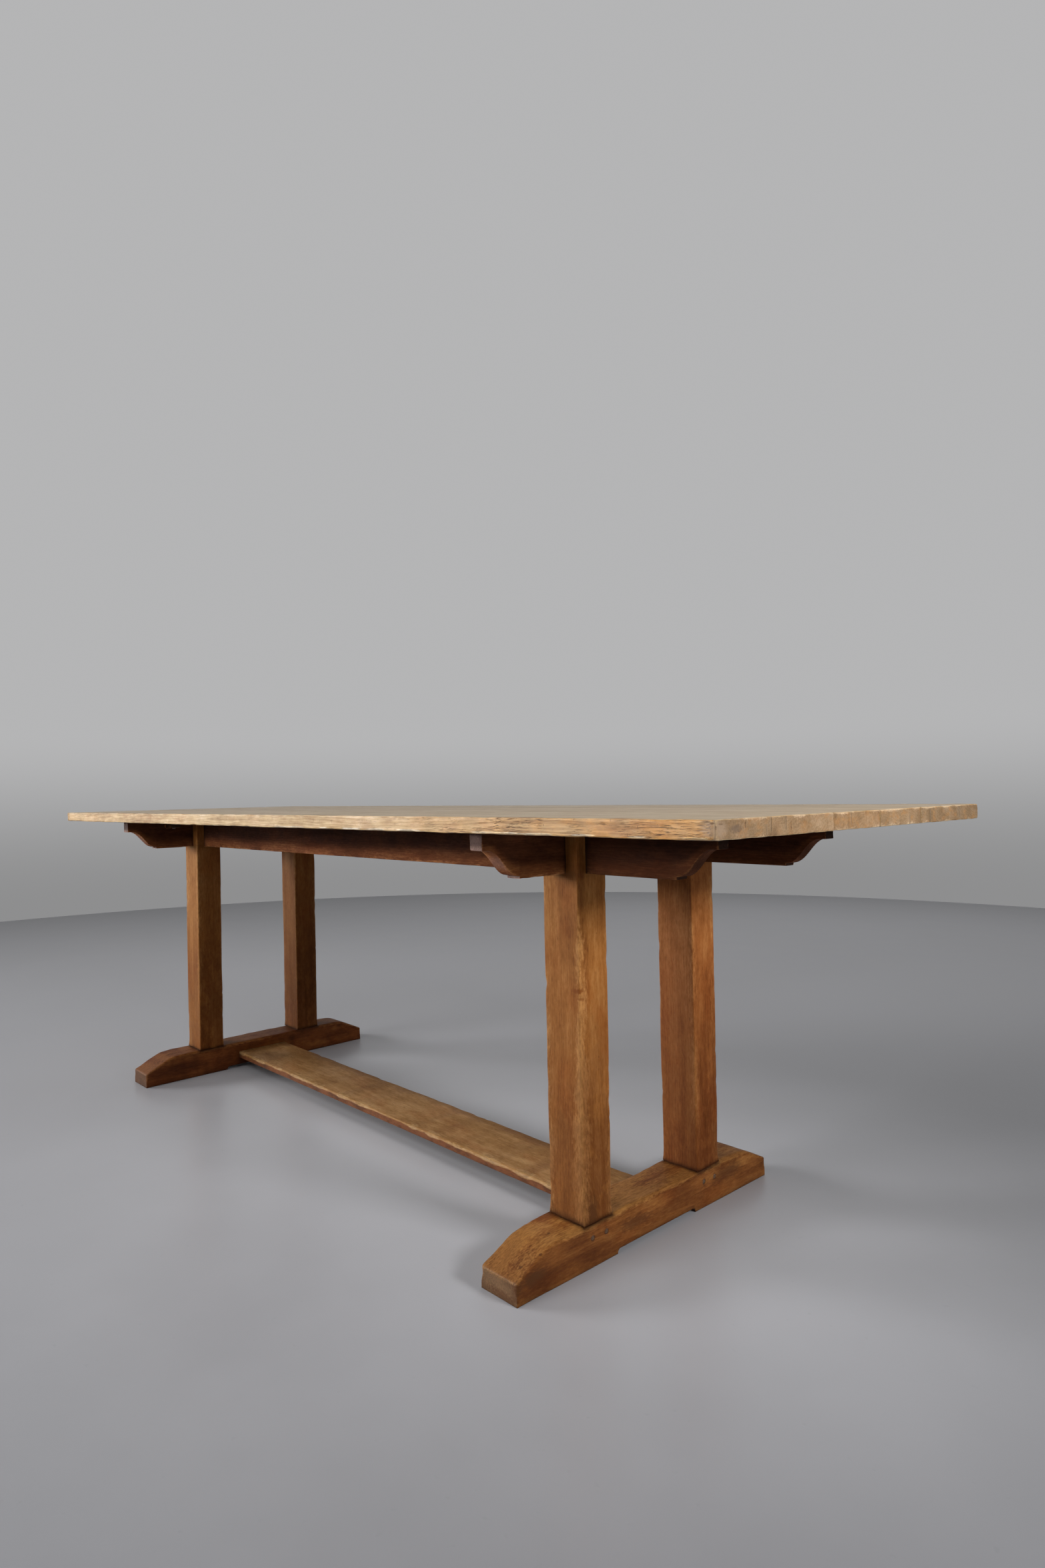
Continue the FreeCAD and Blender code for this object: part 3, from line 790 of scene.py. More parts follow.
def stretcher(seed, material):
    """Low flat board between the feet, its front lip worn wavy by shoes."""
    low, high = box_of("stretcher")
    shoulder = box_of("foot_right")[0][X]
    low[X], high[X] = -shoulder, shoulder
    points, quads = box_skin(low, high, (5, 4, 4))
    x, y, z = points.T
    upper = rise(z, low[Z] + 5 * MM, high[Z] - 5 * MM)
    from_foot = high[X] - np.abs(x)
    away = rise(from_foot, 0, 30 * MM)
    front = np.where(y < 0, 1.0, 0.55)
    along = points * [1, 0, 0]
    wavy = swell(along, (0.11, 1, 1), seed) + 0.5 * swell(along, (0.035, 1, 1), seed + 1)
    radius = np.clip(1.8 + upper * away * front * (3.2 + 1.7 * wavy), 1.2, 7.5) * MM
    tread = unit(0.4 + 0.4 * swell(points, (0.3, 0.08, 1), seed + 2), 1.2) * 0.8 * MM * away
    depth = tread + away * dents(points, tread_knocks(low, high, seed + 3))
    shaped = worn(points, low, high, radius, depth, 5 * MM)

    rubbed = upper * bell(edge_distance(points, low, high), 4 * MM) * unit(0.5 + 0.5 * wavy)
    scuff = bell(y - low[Y], 17 * MM) * unit(0.3 + 0.8 * wavy)
    lip_low, lip_high = high[Z] - (7.5 + 1.3 * wavy) * MM, high[Z] - (3 + wavy) * MM
    layers = {
        "wear": np.maximum(rubbed, upper * scuff),
        # Darker next to the feet: dirt and painted contact shade
        "grime_and_contact_shade": fade(from_foot, 10 * MM) * 0.8,
        "soil_and_shade": unit(rise(y, high[Y] - 34 * MM, high[Y] - 6 * MM) + 0.25 * wavy, 0.8),
        "lip": (1 - rise(high[Y] - np.abs(y), 0.5 * MM, 4 * MM)) * (1 - rise(z, lip_low, lip_high)),
    }
    tenons = [stretcher_tenon(end, 0, end * (shoulder - 6 * MM)) for end in (LEFT, RIGHT)]
    holes = [stretcher_peg_hole(end, MM, 2 * MM) for end in (LEFT, RIGHT)]
    assemble("stretcher", "stretcher_wood", material, shaped, quads, layers,
             [(tenons, JOIN), (holes, CUT)])


def tread_knocks(low, high, seed):
    """Random knocks on the upper arrises, four in five of them at the front."""
    rng = np.random.default_rng(seed)
    places = [[rng.uniform(low[X], high[X]), rng.choice([low[Y]] * 4 + [high[Y]]), high[Z]]
              for _ in range(TREAD_KNOCKS)]
    widths = [np.array([rng.uniform(4, 16), 5, 4]) * MM for _ in places]
    depths = [rng.uniform(0.6, 2.0) * MM for _ in places]
    return zip(places, widths, depths)


# ---- pegs, dowels, buttons, screws ----

def peg_profile(length, radius):
    """Slightly tapered peg, its driven end a little domed and its far end pointed."""
    return [(0.1 * MM, radius * 0.6), (0.25 * MM, radius * 0.88), (0.8 * MM, radius * 0.99),
            (2 * MM, radius), (length * 0.5, radius * 0.97), (length - 5 * MM, radius * 0.93),
            (length - 0.8 * MM, radius * 0.7), (length, radius * 0.55)]


def pegs(node, starts, axis, length, radius, seed, material, sides=12, uneven=0.08):
    """Whittled pegs of one size, driven in from their starts."""
    profile = peg_profile(length, radius)
    shells = [lathe(start, axis, profile, sides, uneven, seed + i)
              for i, start in enumerate(starts)]
    assemble(node, "peg_wood", material, *joined(shells))


def button_outline():
    """Side view of a button: how far it runs out from the member's face, and the height."""
    lip, bottom, ease = UNDERSIDE - BUTTON_LIP, BUTTON_LOW, BUTTON_EASE
    return [(-BUTTON_TONGUE, bottom + ease), (-BUTTON_TONGUE + ease, bottom),
            (BUTTON_BODY - ease, bottom), (BUTTON_BODY, bottom + ease),
            (BUTTON_BODY, UNDERSIDE - ease), (BUTTON_BODY - ease, UNDERSIDE),
            (BUTTON_SEAT + ease / 2, UNDERSIDE), (BUTTON_SEAT, UNDERSIDE - ease / 2),
            (BUTTON_SEAT, lip), (-BUTTON_TONGUE + ease / 2, lip),
            (-BUTTON_TONGUE, lip - ease / 2)]


def button_shell(face, out):
    """Rebated button: a block under the top with a tongue into the member."""
    side = Vector((-out.y, out.x, 0))
    outline = button_outline()
    centre = (BUTTON_BODY * 0.4, (BUTTON_LOW + UNDERSIDE) / 2)
    points, count = [], len(outline)
    inner = BUTTON_HALF - BUTTON_EASE
    for place, shrink in ((-BUTTON_HALF, 0.94), (-inner, 1), (inner, 1), (BUTTON_HALF, 0.94)):
        for run, z in outline:
            spot = face + out * (centre[0] + (run - centre[0]) * shrink) + side * place
            points.append((spot.x, spot.y, centre[1] + (z - centre[1]) * shrink))
    last = range(len(points) - count, len(points))
    return points, tube(4, count, flip=True) + [list(range(count)), list(last)[::-1]]


def buttons(material):
    length = UNDERSIDE - BUTTON_LOW + 4 * MM
    holes = [hole(start, UP, length, SCREW_R, 10) for start in screw_places(BUTTON_LOW - 2 * MM)]
    shells = [button_shell(*place) for place in button_places()]
    assemble("top_buttons", "rail_wood", material, *joined(shells), cuts=[(holes, CUT)])


def screws(material):
    """Slotted wood screws, heads down, their threads turned as fine ridges."""
    head, length = BUTTON_LOW - SCREW_LOW, SCREW_HIGH - SCREW_LOW
    profile = [(0, SCREW_HEAD_R * 0.45), (0.35 * MM, SCREW_HEAD_R * 0.75),
               (1.0 * MM, SCREW_HEAD_R * 0.95), (1.8 * MM, SCREW_HEAD_R),
               (head - 0.02 * MM, SCREW_HEAD_R * 0.97), (head, SCREW_R)]
    for turn in np.arange(head + 6 * MM, length - 3 * MM, THREAD_PITCH):
        profile += [(turn, SCREW_R * 0.72), (turn + THREAD_PITCH / 2, SCREW_R * 0.98)]
    profile += [(length - 2 * MM, SCREW_R * 0.7), (length, SCREW_R * 0.12)]
    places = screw_places(SCREW_LOW)
    slots = [upright_block(at.x, at.y, SCREW_SLOT_HALF, at.z - MM, at.z + 1.1 * MM)
             for at in places]
    assemble("button_screws", "screw_steel", material,
             *joined([lathe(at, UP, profile, 20) for at in places]),
             cuts=[(slots, CUT)], stuff="_steel")


# ---- materials ----

def rgba(colour, gain=1):
    return (*np.multiply(colour, gain), 1.0)


class Field:
    """A socket's value or vector, which can be added, subtracted and multiplied."""

    def __init__(self, shader, socket):
        self.shader, self.socket = shader, socket

    def combined(self, operation, other):
        kind = "VectorMath" if self.socket.type == "VECTOR" else "Math"
        return self.shader.field(kind, {0: self, 1: other}, operation=operation)

    def __add__(self, other):
        return self.combined("ADD", other)

    def __sub__(self, other):
        return self.combined("SUBTRACT", other)

    def __mul__(self, other):
        return self.combined("MULTIPLY", other)


class Shader:
    """A short way to write a material's node tree."""

    def __init__(self, name):
        self.material = bpy.data.materials.new(name)
        self.material.use_nodes = True
        self.tree = self.material.node_tree
        self.tree.nodes.clear()
        self.place = self.field("TexCoord", output="Object")

    def new(self, kind, feeds=None, **settings):
        node = self.tree.nodes.new("ShaderNode" + kind)
        for key, value in settings.items():
            setattr(node, key, value)
        for key, value in (feeds or {}).items():
            if isinstance(value, Field):
                self.tree.links.new(value.socket, node.inputs[key])
            else:
                node.inputs[key].default_value = value
        return node

    def field(self, kind, feeds=None, output=0, **settings):
        return Field(self, self.new(kind, feeds, **settings).outputs[output])

    def math(self, operation, a, b=0.0, clamp=False):
        return self.field("Math", {0: a, 1: b}, operation=operation, use_clamp=clamp)

    def length(self, vector):
        return self.field("VectorMath", {0: vector}, "Value", operation="LENGTH")

    def noise(self, vector, scale, detail, roughness):
        feeds = {"Vector": vector * scale, "Scale": 1.0, "Detail": detail,
                 "Roughness": roughness}
        return self.field("TexNoise", feeds, "Fac")

    def span(self, value, low, high, to_low=0.0, to_high=1.0):
        feeds = {"Value": value, "From Min": low, "From Max": high, "To Min": to_low,
                 "To Max": to_high}
        return self.field("MapRange", feeds, "Result", interpolation_type="SMOOTHSTEP")

    def patches(self, vector, scale, low, high, detail=3, roughness=0.6):
        """1 where a noise lies above high, 0 where it lies below low."""
        return self.span(self.noise(vector, scale, detail, roughness), low, high)

    def mix(self, factor, a, b, blend="MIX"):
        feeds = {0: factor, 6: a, 7: b}
        return self.field("Mix", feeds, 2, data_type="RGBA", blend_type=blend)

    def tinted(self, factor, colour, tint):
        """A colour multiplied by a tint where factor is 1."""
        return self.mix(factor, colour, self.mix(1.0, colour, rgba(tint), "MULTIPLY"))

    def shaded(self, value, low, high, tone, dark, light=1):
        """A tone that climbs from its dark gain to its light one as value climbs."""
        return self.mix(self.span(value, low, high), rgba(tone, dark), rgba(tone, light))

    def layer(self, name):
        return self.field("Attribute", output="Fac", attribute_name=name)

    def surface(self, colour, roughness, height, distance, **constants):
        normal = self.field("Bump", {"Height": height, "Distance": distance, "Strength": 1.0})
        feeds = {"Base Color": colour, "Roughness": roughness, "Normal": normal}
        return self.field("BsdfPrincipled", {**feeds, **constants})

    def finish(self, surface):
        self.new("OutputMaterial", {"Surface": surface})
        return self.material


TURN = {X: (0, 0, 0), Y: (0, 0, -pi / 2), Z: (0, pi / 2, 0)}
GRAIN = {X: (1, 0, 0), Y: (0, 1, 0), Z: (0, 0, 1)}
RED_TINT = (0.86, 0.62, 0.45)
# Soil tint: darkens soiled wood, and on the posts and feet paints shade as well
SOIL_AND_SHADE_TINT = (0.5, 0.42, 0.38)
BROWN_STAIN = (0.3, 0.145, 0.045)
MARK_GAIN, GRIME_AND_SHADE_GAIN = (0.42, 0.34, 0.3), (0.2, 0.18, 0.18)
RINGS_PER_METRE, WARP = 200.0, 0.05
RED_STRENGTH, RIM_GLOSS = 0.4, 0.2
GRAIN_RELIEF = 0.35 * MM


class Wood(Shader):
    """Patterns of open-grained wood with its grain along one axis."""

    def __init__(self, name, axis, seed, fibre):
        super().__init__(name)
        rng = np.random.default_rng(seed)
        self.turned = self.turn(axis, tuple(rng.uniform(-5, 5, 3)))
        warp = self.noise(self.turned, (1.3, 8, 8), 2, 0.5)
        shift = (warp - 0.5) * WARP
        push = self.field("CombineXYZ", {1: shift, 2: shift})
        self.grain = self.turned + push
        self.broad = self.noise(self.grain, (3.2, 52, 52), 3, 0.55)
        self.fine = self.noise(self.grain, (fibre[0], fibre[1], fibre[1]), 5, 0.7)
        self.hair = self.noise(self.grain, (50, 800, 800), 2, 0.6)
        self.mottle = self.noise(self.turned, (19, 31, 31), 4, 0.66)
        self.cloud = self.noise(self.turned, (4.5, 9, 9), 4, 0.6)
        off_pith = (0, rng.uniform(-0.05, 0.05), rng.uniform(0.05, 0.12))
        pith = self.turn(axis) + off_pith + push
        ring = self.length(pith * (0.02, 1, 1)) * RINGS_PER_METRE + warp * 3.0 + self.broad * 5.0
        ring = self.span(self.math("PINGPONG", ring, 0.5), 0.05, 0.5)
        self.ring = self.math("POWER", ring, 0.6)

    def turn(self, axis, shift=(0, 0, 0)):
        """Coordinates of the piece with its grain laid along X."""
        feeds = {"Vector": self.place, "Rotation": TURN[axis], "Location": shift}
        return self.field("Mapping", feeds)


def ramp(s, tone, dark, mid, light):
    node = s.new("ValToRGB", {"Fac": tone})
    stops = node.color_ramp.elements
    stops[0].position, stops[0].color = 0.0, rgba(dark)
    stops[1].position, stops[1].color = 1.0, rgba(light)
    stops.new(0.5).color = rgba(mid)
    return Field(s, node.outputs["Color"])


def end_grain(s, colour, end_face, end_tone):
    end_colour = s.shaded(s.fine * 0.5 + s.mottle * 0.5, 0.36, 0.62, end_tone, 0.6, 1.1)
    return s.mix(end_face * 0.8, colour, end_colour)


def rubbed(s, colour, tone, strength):
    """Paler wood where the wear layer says so, with a torn border."""
    wear = s.layer("wear")
    torn = (s.mottle - 0.5) + (s.fine - 0.5)
    bare = s.span(wear + torn * 1.7, 0.2, 0.9) * s.span(wear, 0.02, 0.4)
    return s.mix(bare * strength, colour, s.shaded(s.fine, 0.35, 0.65, tone, 0.6))


def lipped(s, colour, tone):
    """Another tone on the band that the lip layer gives: worn or chipped wood, and on the top's
    lower arris a painted highlight as well.
    """
    there = s.span(s.layer("lip"), 0.35, 0.75)
    return s.mix(there, colour, s.shaded(s.fine * 0.4 + s.mottle * 0.6, 0.38, 0.58, tone, 0.45))


def pores(s, fleck):
    """Short dark dashes along the grain, and specks."""
    dash = s.patches(s.grain, (55, 420, 420), 0.6, 0.72)
    speck = s.patches(s.turned, (120, 210, 210), 0.64, 0.76)
    return s.math("MAXIMUM", dash * (0.8 * fleck), speck * (0.7 * fleck))


def rim_marks(s, rim, end_face, marks):
    """Open lines and short ticks on the outer edges of the top, added to marks."""
    lines = s.patches(s.grain, (42, 1150, 1000), 0.54, 0.61, roughness=0.65)
    clusters = s.span(s.noise(s.turned, (13, 55, 40), 3, 0.6), 0.42, 0.56, 0.1, 1.0)
    lines = lines * clusters * s.span(s.layer("soil_and_shade"), 0, 0.5, 0.3, 0.95)
    along = s.patches(s.turned, (330, 50, 80), 0.66, 0.72)
    across = s.patches(s.turned, (40, 360, 45), 0.63, 0.69) * 0.5
    ticks = s.mix(end_face, along, across) * 0.8
    return s.math("MAXIMUM", marks, s.math("MAXIMUM", lines, ticks) * rim)


def stained(s, colour, place, size, strength, tone):
    """A stain round one place: size gives its reach in mm, and its border is torn."""
    away = (s.place - tuple(place)) * tuple(1 / (np.array(size) * MM))
    far = s.length(away) + (s.mottle - 0.5) + (s.fine - 0.5) * 2.3
    return s.mix(s.span(far, 0.35, 1.25, 1.0, 0.0) * strength, colour, rgba(tone))


def wood(name, axis, seed, dark, mid, light, worn, end_tone, stains=(), lip=None, rimmed=False,
         fleck=0.5, streaks=0.8, rings=0.1, blotch=0.75, fibre=(75, 310), rub=0.52,
         shine=0.16, dry=0.0, soil_and_shade_tint=SOIL_AND_SHADE_TINT, soil_and_shade_floor=0.3):
    """A wood with its tones, then the coats over them from the oldest to the newest."""
    s = Wood(name, axis, seed, fibre)
    rim = s.layer("rim") if rimmed else None
    tone = ((s.broad - 0.5) * streaks + (s.fine - 0.5) * 0.85 + (s.hair - 0.5) * 0.22
            + (s.ring - 0.6) * rings + (s.mottle - 0.5) * (1.1 * blotch)
            + (s.cloud - 0.5) * blotch)
    if rimmed:
        tone = tone * s.span(rim, 0, 1, 0.65, 0.95)
    tone = tone + 0.5
    colour = ramp(s, tone, dark, mid, light)
    if rimmed:
        colour = s.mix(s.span(rim, 0, 1, 0.42, 0), colour, rgba(TOP_BLEACH))
    redder = s.patches(s.turned + (3.1, 1.7, 0.4), (8, 19, 19), 0.48, 0.66, 5, 0.65)
    colour = s.tinted(redder * RED_STRENGTH, colour, RED_TINT)
    facing = s.field("VectorMath", {0: s.field("TexCoord", output="Normal"), 1: GRAIN[axis]},
                     "Value", operation="DOT_PRODUCT")
    end_face = s.span(s.math("ABSOLUTE", facing), 0.6, 0.97)
    colour = rubbed(s, end_grain(s, colour, end_face, end_tone), worn, rub)
    if lip:
        colour = lipped(s, colour, lip)
    # Soil layer: dirt, and on posts, feet, rails and bearers painted shade as well
    soiled_or_shaded = s.layer("soil_and_shade") * s.span(s.mottle, 0.32, 0.62, soil_and_shade_floor, 1.0)
    colour = s.tinted(soiled_or_shaded, colour, soil_and_shade_tint)
    marks = pores(s, fleck)
    if rimmed:
        brown = s.patches(s.turned, (16, 50, 70), 0.5, 0.66, 5, 0.7) * rim * 0.5
        colour = s.mix(brown, colour, rgba(BROWN_STAIN))
        marks = rim_marks(s, rim, end_face, marks)
    colour = s.mix(marks, colour, rgba(dark, MARK_GAIN))
    for each in stains:
        colour = stained(s, colour, *each)
    # Grime and painted contact shade: darker where parts meet, inside cut recesses and along the
    # floor
    grime_and_contact_shade = s.layer("grime_and_contact_shade") * s.span(s.mottle, 0.3, 0.6, 0.55, 1.0)
    colour = s.mix(grime_and_contact_shade * 0.95, colour, rgba(dark, GRIME_AND_SHADE_GAIN))
    rough = s.span(tone, 0.1, 0.9, 0.62 + dry, 0.48 + dry)
    if rimmed:
        rough = rough - s.span(rim, 0, 1, RIM_GLOSS, 0)
    rough = s.math("ADD", rough, marks * 0.15, clamp=True)
    height = s.fine * 0.5 + s.hair * 0.25 - marks * 0.8 + s.ring * 0.03
    return s.finish(s.surface(colour, rough, height, GRAIN_RELIEF,
                              **{"Specular IOR Level": shine}))


def steel():
    """Old screw steel: dull grey with brown rust specks."""
    s = Shader("old_steel")
    spots = s.noise(s.place, (700, 700, 700), 4, 0.6)
    colour = s.mix(s.span(spots, 0.5, 0.66), rgba((0.32, 0.31, 0.3)), rgba((0.16, 0.07, 0.03)))
    rough = s.span(spots, 0.4, 0.7, 0.32, 0.75)
    return s.finish(s.surface(colour, rough, spots, 0.15 * MM, Metallic=0.8))


def palette(dark, mid, light, worn, end_tone):
    return dict(dark=dark, mid=mid, light=light, worn=worn, end_tone=end_tone)


def shade_of(tones, gain):
    """A palette with every tone multiplied by a gain for each channel."""
    return {name: tuple(np.multiply(tone, gain)) for name, tone in tones.items()}


KNOT_COLOUR = (0.15, 0.045, 0.01)
STAIN_AND_CREVICE_SHADE_COLOUR = (0.075, 0.027, 0.008)
DIRT_COLOUR = (0.12, 0.08, 0.055)
PEG_RIM = (0.075, 0.024, 0.009)
PALE_DIRT = (0.4, 0.29, 0.2)
TOP_BLEACH = (0.275, 0.235, 0.166)
TOP_SOIL = (1.04, 0.7, 0.27)
# Pale chipped lower front arris of the top, which also stands as a painted highlight
TOP_CHIP_AND_HIGHLIGHT = (0.9, 0.82, 0.68)
STRETCHER_LIP = (0.15, 0.052, 0.018)
# Tint of the painted shade that the table top casts on rails and bearers
UNDER_TOP_SHADE_TINT = (0.2, 0.155, 0.145)
POST_TONES = palette((0.11, 0.034, 0.0078), (0.235, 0.094, 0.0235), (0.365, 0.176, 0.057),
                     (0.43, 0.215, 0.075), (0.17, 0.08, 0.03))
RED_POST = palette((0.096, 0.027, 0.0068), (0.215, 0.076, 0.0205), (0.335, 0.146, 0.047),
                   (0.4, 0.19, 0.065), (0.16, 0.07, 0.025))
FOOT_TONES = palette((0.066, 0.0175, 0.005), (0.172, 0.06, 0.0135), (0.31, 0.138, 0.035),
                     (0.395, 0.197, 0.057), (0.188, 0.118, 0.062))
# Rails' tones, darkened as painted shade of the table top; their end tone is painted shade on the
# end faces
SHADED_RAIL_TONES = palette((0.028, 0.0088, 0.0027), (0.074, 0.0244, 0.0078), (0.158, 0.063, 0.0195),
                     (0.26, 0.12, 0.045), (0.016, 0.011, 0.009))
STRETCHER_TONES = palette((0.105, 0.042, 0.01), (0.212, 0.107, 0.034), (0.33, 0.188, 0.076),
                          (0.43, 0.275, 0.125), (0.2, 0.12, 0.07))
TOP_TONES = palette((0.24, 0.132, 0.045), (0.46, 0.31, 0.142), (0.66, 0.49, 0.305),
                    (0.74, 0.57, 0.385), (0.265, 0.165, 0.096))
PEG_TONES = palette((0.055, 0.034, 0.022), (0.12, 0.072, 0.045), (0.2, 0.13, 0.085),
                    (0.11, 0.06, 0.036), (0.085, 0.048, 0.03))
BEARER_TONES = {**shade_of(SHADED_RAIL_TONES, (2.2, 2.2, 2.3)), "end_tone": (0.21, 0.15, 0.135)}
LONG_RAIL_TONES = {**shade_of(SHADED_RAIL_TONES, (1.7, 1.58, 1.5)), "end_tone": SHADED_RAIL_TONES["end_tone"]}
# Left foot's tones darkened as painted shade: it stands in the table's shadow
LEFT_FOOT_SHADE_GAIN = (0.66, 0.54, 0.5)
# Left posts' tones darkened as painted shade, the back one most
LEFT_FRONT_POST_SHADE_GAIN, SHADED_POST_GAIN = (0.98, 0.96, 0.92), (0.76, 0.71, 0.68)
BOARD_GAINS = ((1, 1, 1), (0.93, 0.9, 0.87), (0.98, 0.98, 0.98), (0.94, 0.93, 0.92))
END_GAINS = (0.76, 0.72, 0.57, 0.46)

# What the woods of the same kind of piece have in common
POST_LOOK = dict(shine=0.08)
# Rails and bearers: their soil layer carries the table top's painted shade
SHADED_UNDER_TOP_LOOK = dict(shine=0.12, dry=0.2, soil_and_shade_floor=0.7, soil_and_shade_tint=UNDER_TOP_SHADE_TINT)
TOP_LOOK = dict(rings=0.3, streaks=1.0, blotch=0.9, shine=0.6, rimmed=True, fibre=(22, 430),
                soil_and_shade_tint=TOP_SOIL, lip=TOP_CHIP_AND_HIGHLIGHT)
STRETCHER_LOOK = dict(lip=STRETCHER_LIP, blotch=0.85, streaks=0.6, fleck=0.8, shine=0.15)


# ---- stage ----

LAMP_COLOUR = (1.0, 0.985, 0.965)
SKY = 0.07
FLOOR_COLOUR = (0.376, 0.382, 0.412)
WALL_COLOUR = (0.6, 0.6, 0.61)
GLOW_COLOUR = (1.0, 1.0, 1.01)
BACKDROP_GLOW = 0.46           # how pale the backdrop looks to the camera and in reflections
FLOOR_GLOW, GLOW_CLIMB = 0.27, 1.4      # the same at its foot, and how high it climbs to that
FLOOR_R, COVE_R, WALL_HIGH = 5.0, 2.0, 9.0
STAGE_SIDES = 128
WINDOW_AIM, FILL_AIM_X = (-0.3, 0.0, 1.2), 0.78


def turned_sheet(name, profile, material):
    """Open sheet turned round the upright through the origin, facing inwards."""
    points = []
    for r, z in profile:
        for i in range(STAGE_SIDES):
            angle = 2 * pi * i / STAGE_SIDES
            points.append((r * cos(angle), r * sin(angle), z))
    sheet = make_object(name, points, tube(len(profile), STAGE_SIDES, flip=True))
    sheet.data.polygons.foreach_set("use_smooth", [True] * len(sheet.data.polygons))
    sheet.data.materials.append(material)
    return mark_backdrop(sheet) or sheet


def stage():
    """Pale floor, and a plain pale backdrop all round that lets the soft light through."""
    paint = Shader("painted_floor")
    floor = [(0.001, 0)] + [(r, 0.0) for r in np.linspace(0.5, FLOOR_R, 8)]
    turned_sheet("studio_floor", floor, paint.finish(studio_paint(paint, FLOOR_COLOUR)))
    cove = [(FLOOR_R + COVE_R * sin(a), COVE_R * (1 - cos(a)))
            for a in np.linspace(0, pi / 2, 14)]
    cove.append((FLOOR_R + COVE_R, WALL_HIGH))
    backdrop = turned_sheet("studio_backdrop", cove, backdrop_paint())
    backdrop.visible_diffuse = backdrop.visible_shadow = False


def studio_paint(s, tone):
    """Satin paint with faint clouds and scuffs."""
    cloud = s.noise(s.place, (1.6, 1.6, 1.6), 4, 0.6)
    speck = s.patches(s.place, (60, 60, 60), 0.68, 0.8, 2, 0.5)
    colour = s.mix(speck * 0.18, s.shaded(cloud, 0.3, 0.7, tone, 0.96, 1.04), rgba(tone, 0.7))
    return s.surface(colour, s.span(cloud, 0.3, 0.7, 0.28, 0.36), speck, 0.1 * MM)


def backdrop_paint():
    """Pale backdrop that looks evenly lit to the camera and in reflections."""
    s = Shader("painted_wall")
    seen = s.math("ADD", *[s.field("LightPath", output=ray)
                           for ray in ("Is Camera Ray", "Is Glossy Ray")], clamp=True)
    height = s.field("SeparateXYZ", {0: s.place}, Z)
    strength = s.span(height, 0.0, GLOW_CLIMB, FLOOR_GLOW, BACKDROP_GLOW)
    glow = s.field("Emission", {"Color": rgba(GLOW_COLOUR), "Strength": strength})
    paint = studio_paint(s, WALL_COLOUR)
    return s.finish(s.field("MixShader", {0: seen, 1: paint, 2: glow}))


def area_light(name, at, aim, size, power, spread=180, mirrored=True):
    """Soft rectangular lamp: size is its width and height, power is in watts."""
    lamp = bpy.data.lights.new(name, "AREA")
    lamp.shape = "RECTANGLE"
    lamp.size, lamp.size_y = size
    lamp.energy, lamp.color, lamp.spread = power, LAMP_COLOUR, radians(spread)
    holder = bpy.data.objects.new(name, lamp)
    holder.location = at
    holder.rotation_mode = "QUATERNION"
    holder.rotation_quaternion = (Vector(aim) - Vector(at)).to_track_quat("-Z", "Y")
    holder.visible_camera, holder.visible_glossy = False, mirrored
    bpy.context.scene.collection.objects.link(holder)


def lights():
    """Two windows at the front left, fills at the right end, light from behind and above."""
    area_light("key", (-7.8, -6.2, 3.0), WINDOW_AIM, (4.0, 1.8), 112, spread=60)
    area_light("front", (-1.5, -9.8, 2.6), WINDOW_AIM, (4.0, 1.8), 57, spread=60)
    area_light("fill", (3.1, 0.25, 1.5), (FILL_AIM_X, 0.0, 0.6), (0.7, 0.45), 6.3, 50, False)
    area_light("side", (2.6, 0.2, 0.5), (FILL_AIM_X, 0.0, 0.42), (1.0, 0.6), 1.1, 60, False)
    area_light("back", (-1.0, 4.2, 2.8), (0.0, 0.0, 0.4), (3.0, 1.6), 34, mirrored=False)
    area_light("overhead", (0.1, -2.4, 3.0), (0.1, -0.5, 0.0), (3.2, 1.4), 40)
    world = bpy.data.worlds.new("soft_sky")
    world.use_nodes = True
    sky = world.node_tree.nodes["Background"]
    sky.inputs["Color"].default_value = (1.0, 1.0, 1.0, 1.0)
    sky.inputs["Strength"].default_value = SKY
    bpy.context.scene.world = world


def camera():
    yaw, pitch, roll = CAMERA_YAW, CAMERA_PITCH, CAMERA_ROLL
    forward = Vector((-sin(yaw) * cos(pitch), cos(yaw) * cos(pitch), sin(pitch)))
    level = Vector((cos(yaw), sin(yaw), 0))
    upright = level.cross(forward)
    right = level * cos(roll) + upright * sin(roll)
    up = upright * cos(roll) - level * sin(roll)
    lens = bpy.data.cameras.new("camera")
    lens.lens, lens.sensor_width, lens.sensor_fit = CAMERA_LENS, SENSOR, "AUTO"
    holder = bpy.data.objects.new("camera", lens)
    turn = Matrix((right, up, -forward)).transposed().to_4x4()
    holder.matrix_world = Matrix.Translation(CAMERA_AT) @ turn
    bpy.context.scene.collection.objects.link(holder)
    bpy.context.scene.camera = holder


# ---- marks at known places ----

# Knots on the near arris of the right front post: height, reach in mm, strength
KNOTS = ((0.4625, (15, 12, 4.2), 0.9), (0.449, (6, 10, 2.6), 0.65))
CHIP_HEIGHT = 0.4652        # of the chip in its other front arris

# Patches (along, up, reach in mm, strength) and pits (in from the side, along, up) of a foot
FOOT_PATCHES = ((-0.308, 0.034, (10, 30, 12), 1.0), (-0.344, 0.028, (9, 14, 12), 0.8),
                (-0.06, 0.04, (9, 45, 12), 0.7), (0.21, 0.045, (9, 60, 14), 0.6))
FOOT_PITS = ((0.004, -0.29, 0.0625), (0.018, -0.32, 0.048), (0.03, -0.245, 0.072))

# Specks at the near corner of the top, in mm: in from the end, from the side, down, reach
CORNER_SPECKS = ((15, 0, 3, (7, 4, 1.3)), (6, 2, 5, (3.2, 2.2, 1.1)), (3, 4, 9, (1.4, 1.4, 4)),
                 (22, 0, 7, (6, 4, 0.9)), (0, 11, 6, (3, 4, 1.0)))
DIRTY_Y, SPLIT_YS = -0.349, (-0.226, -0.33)


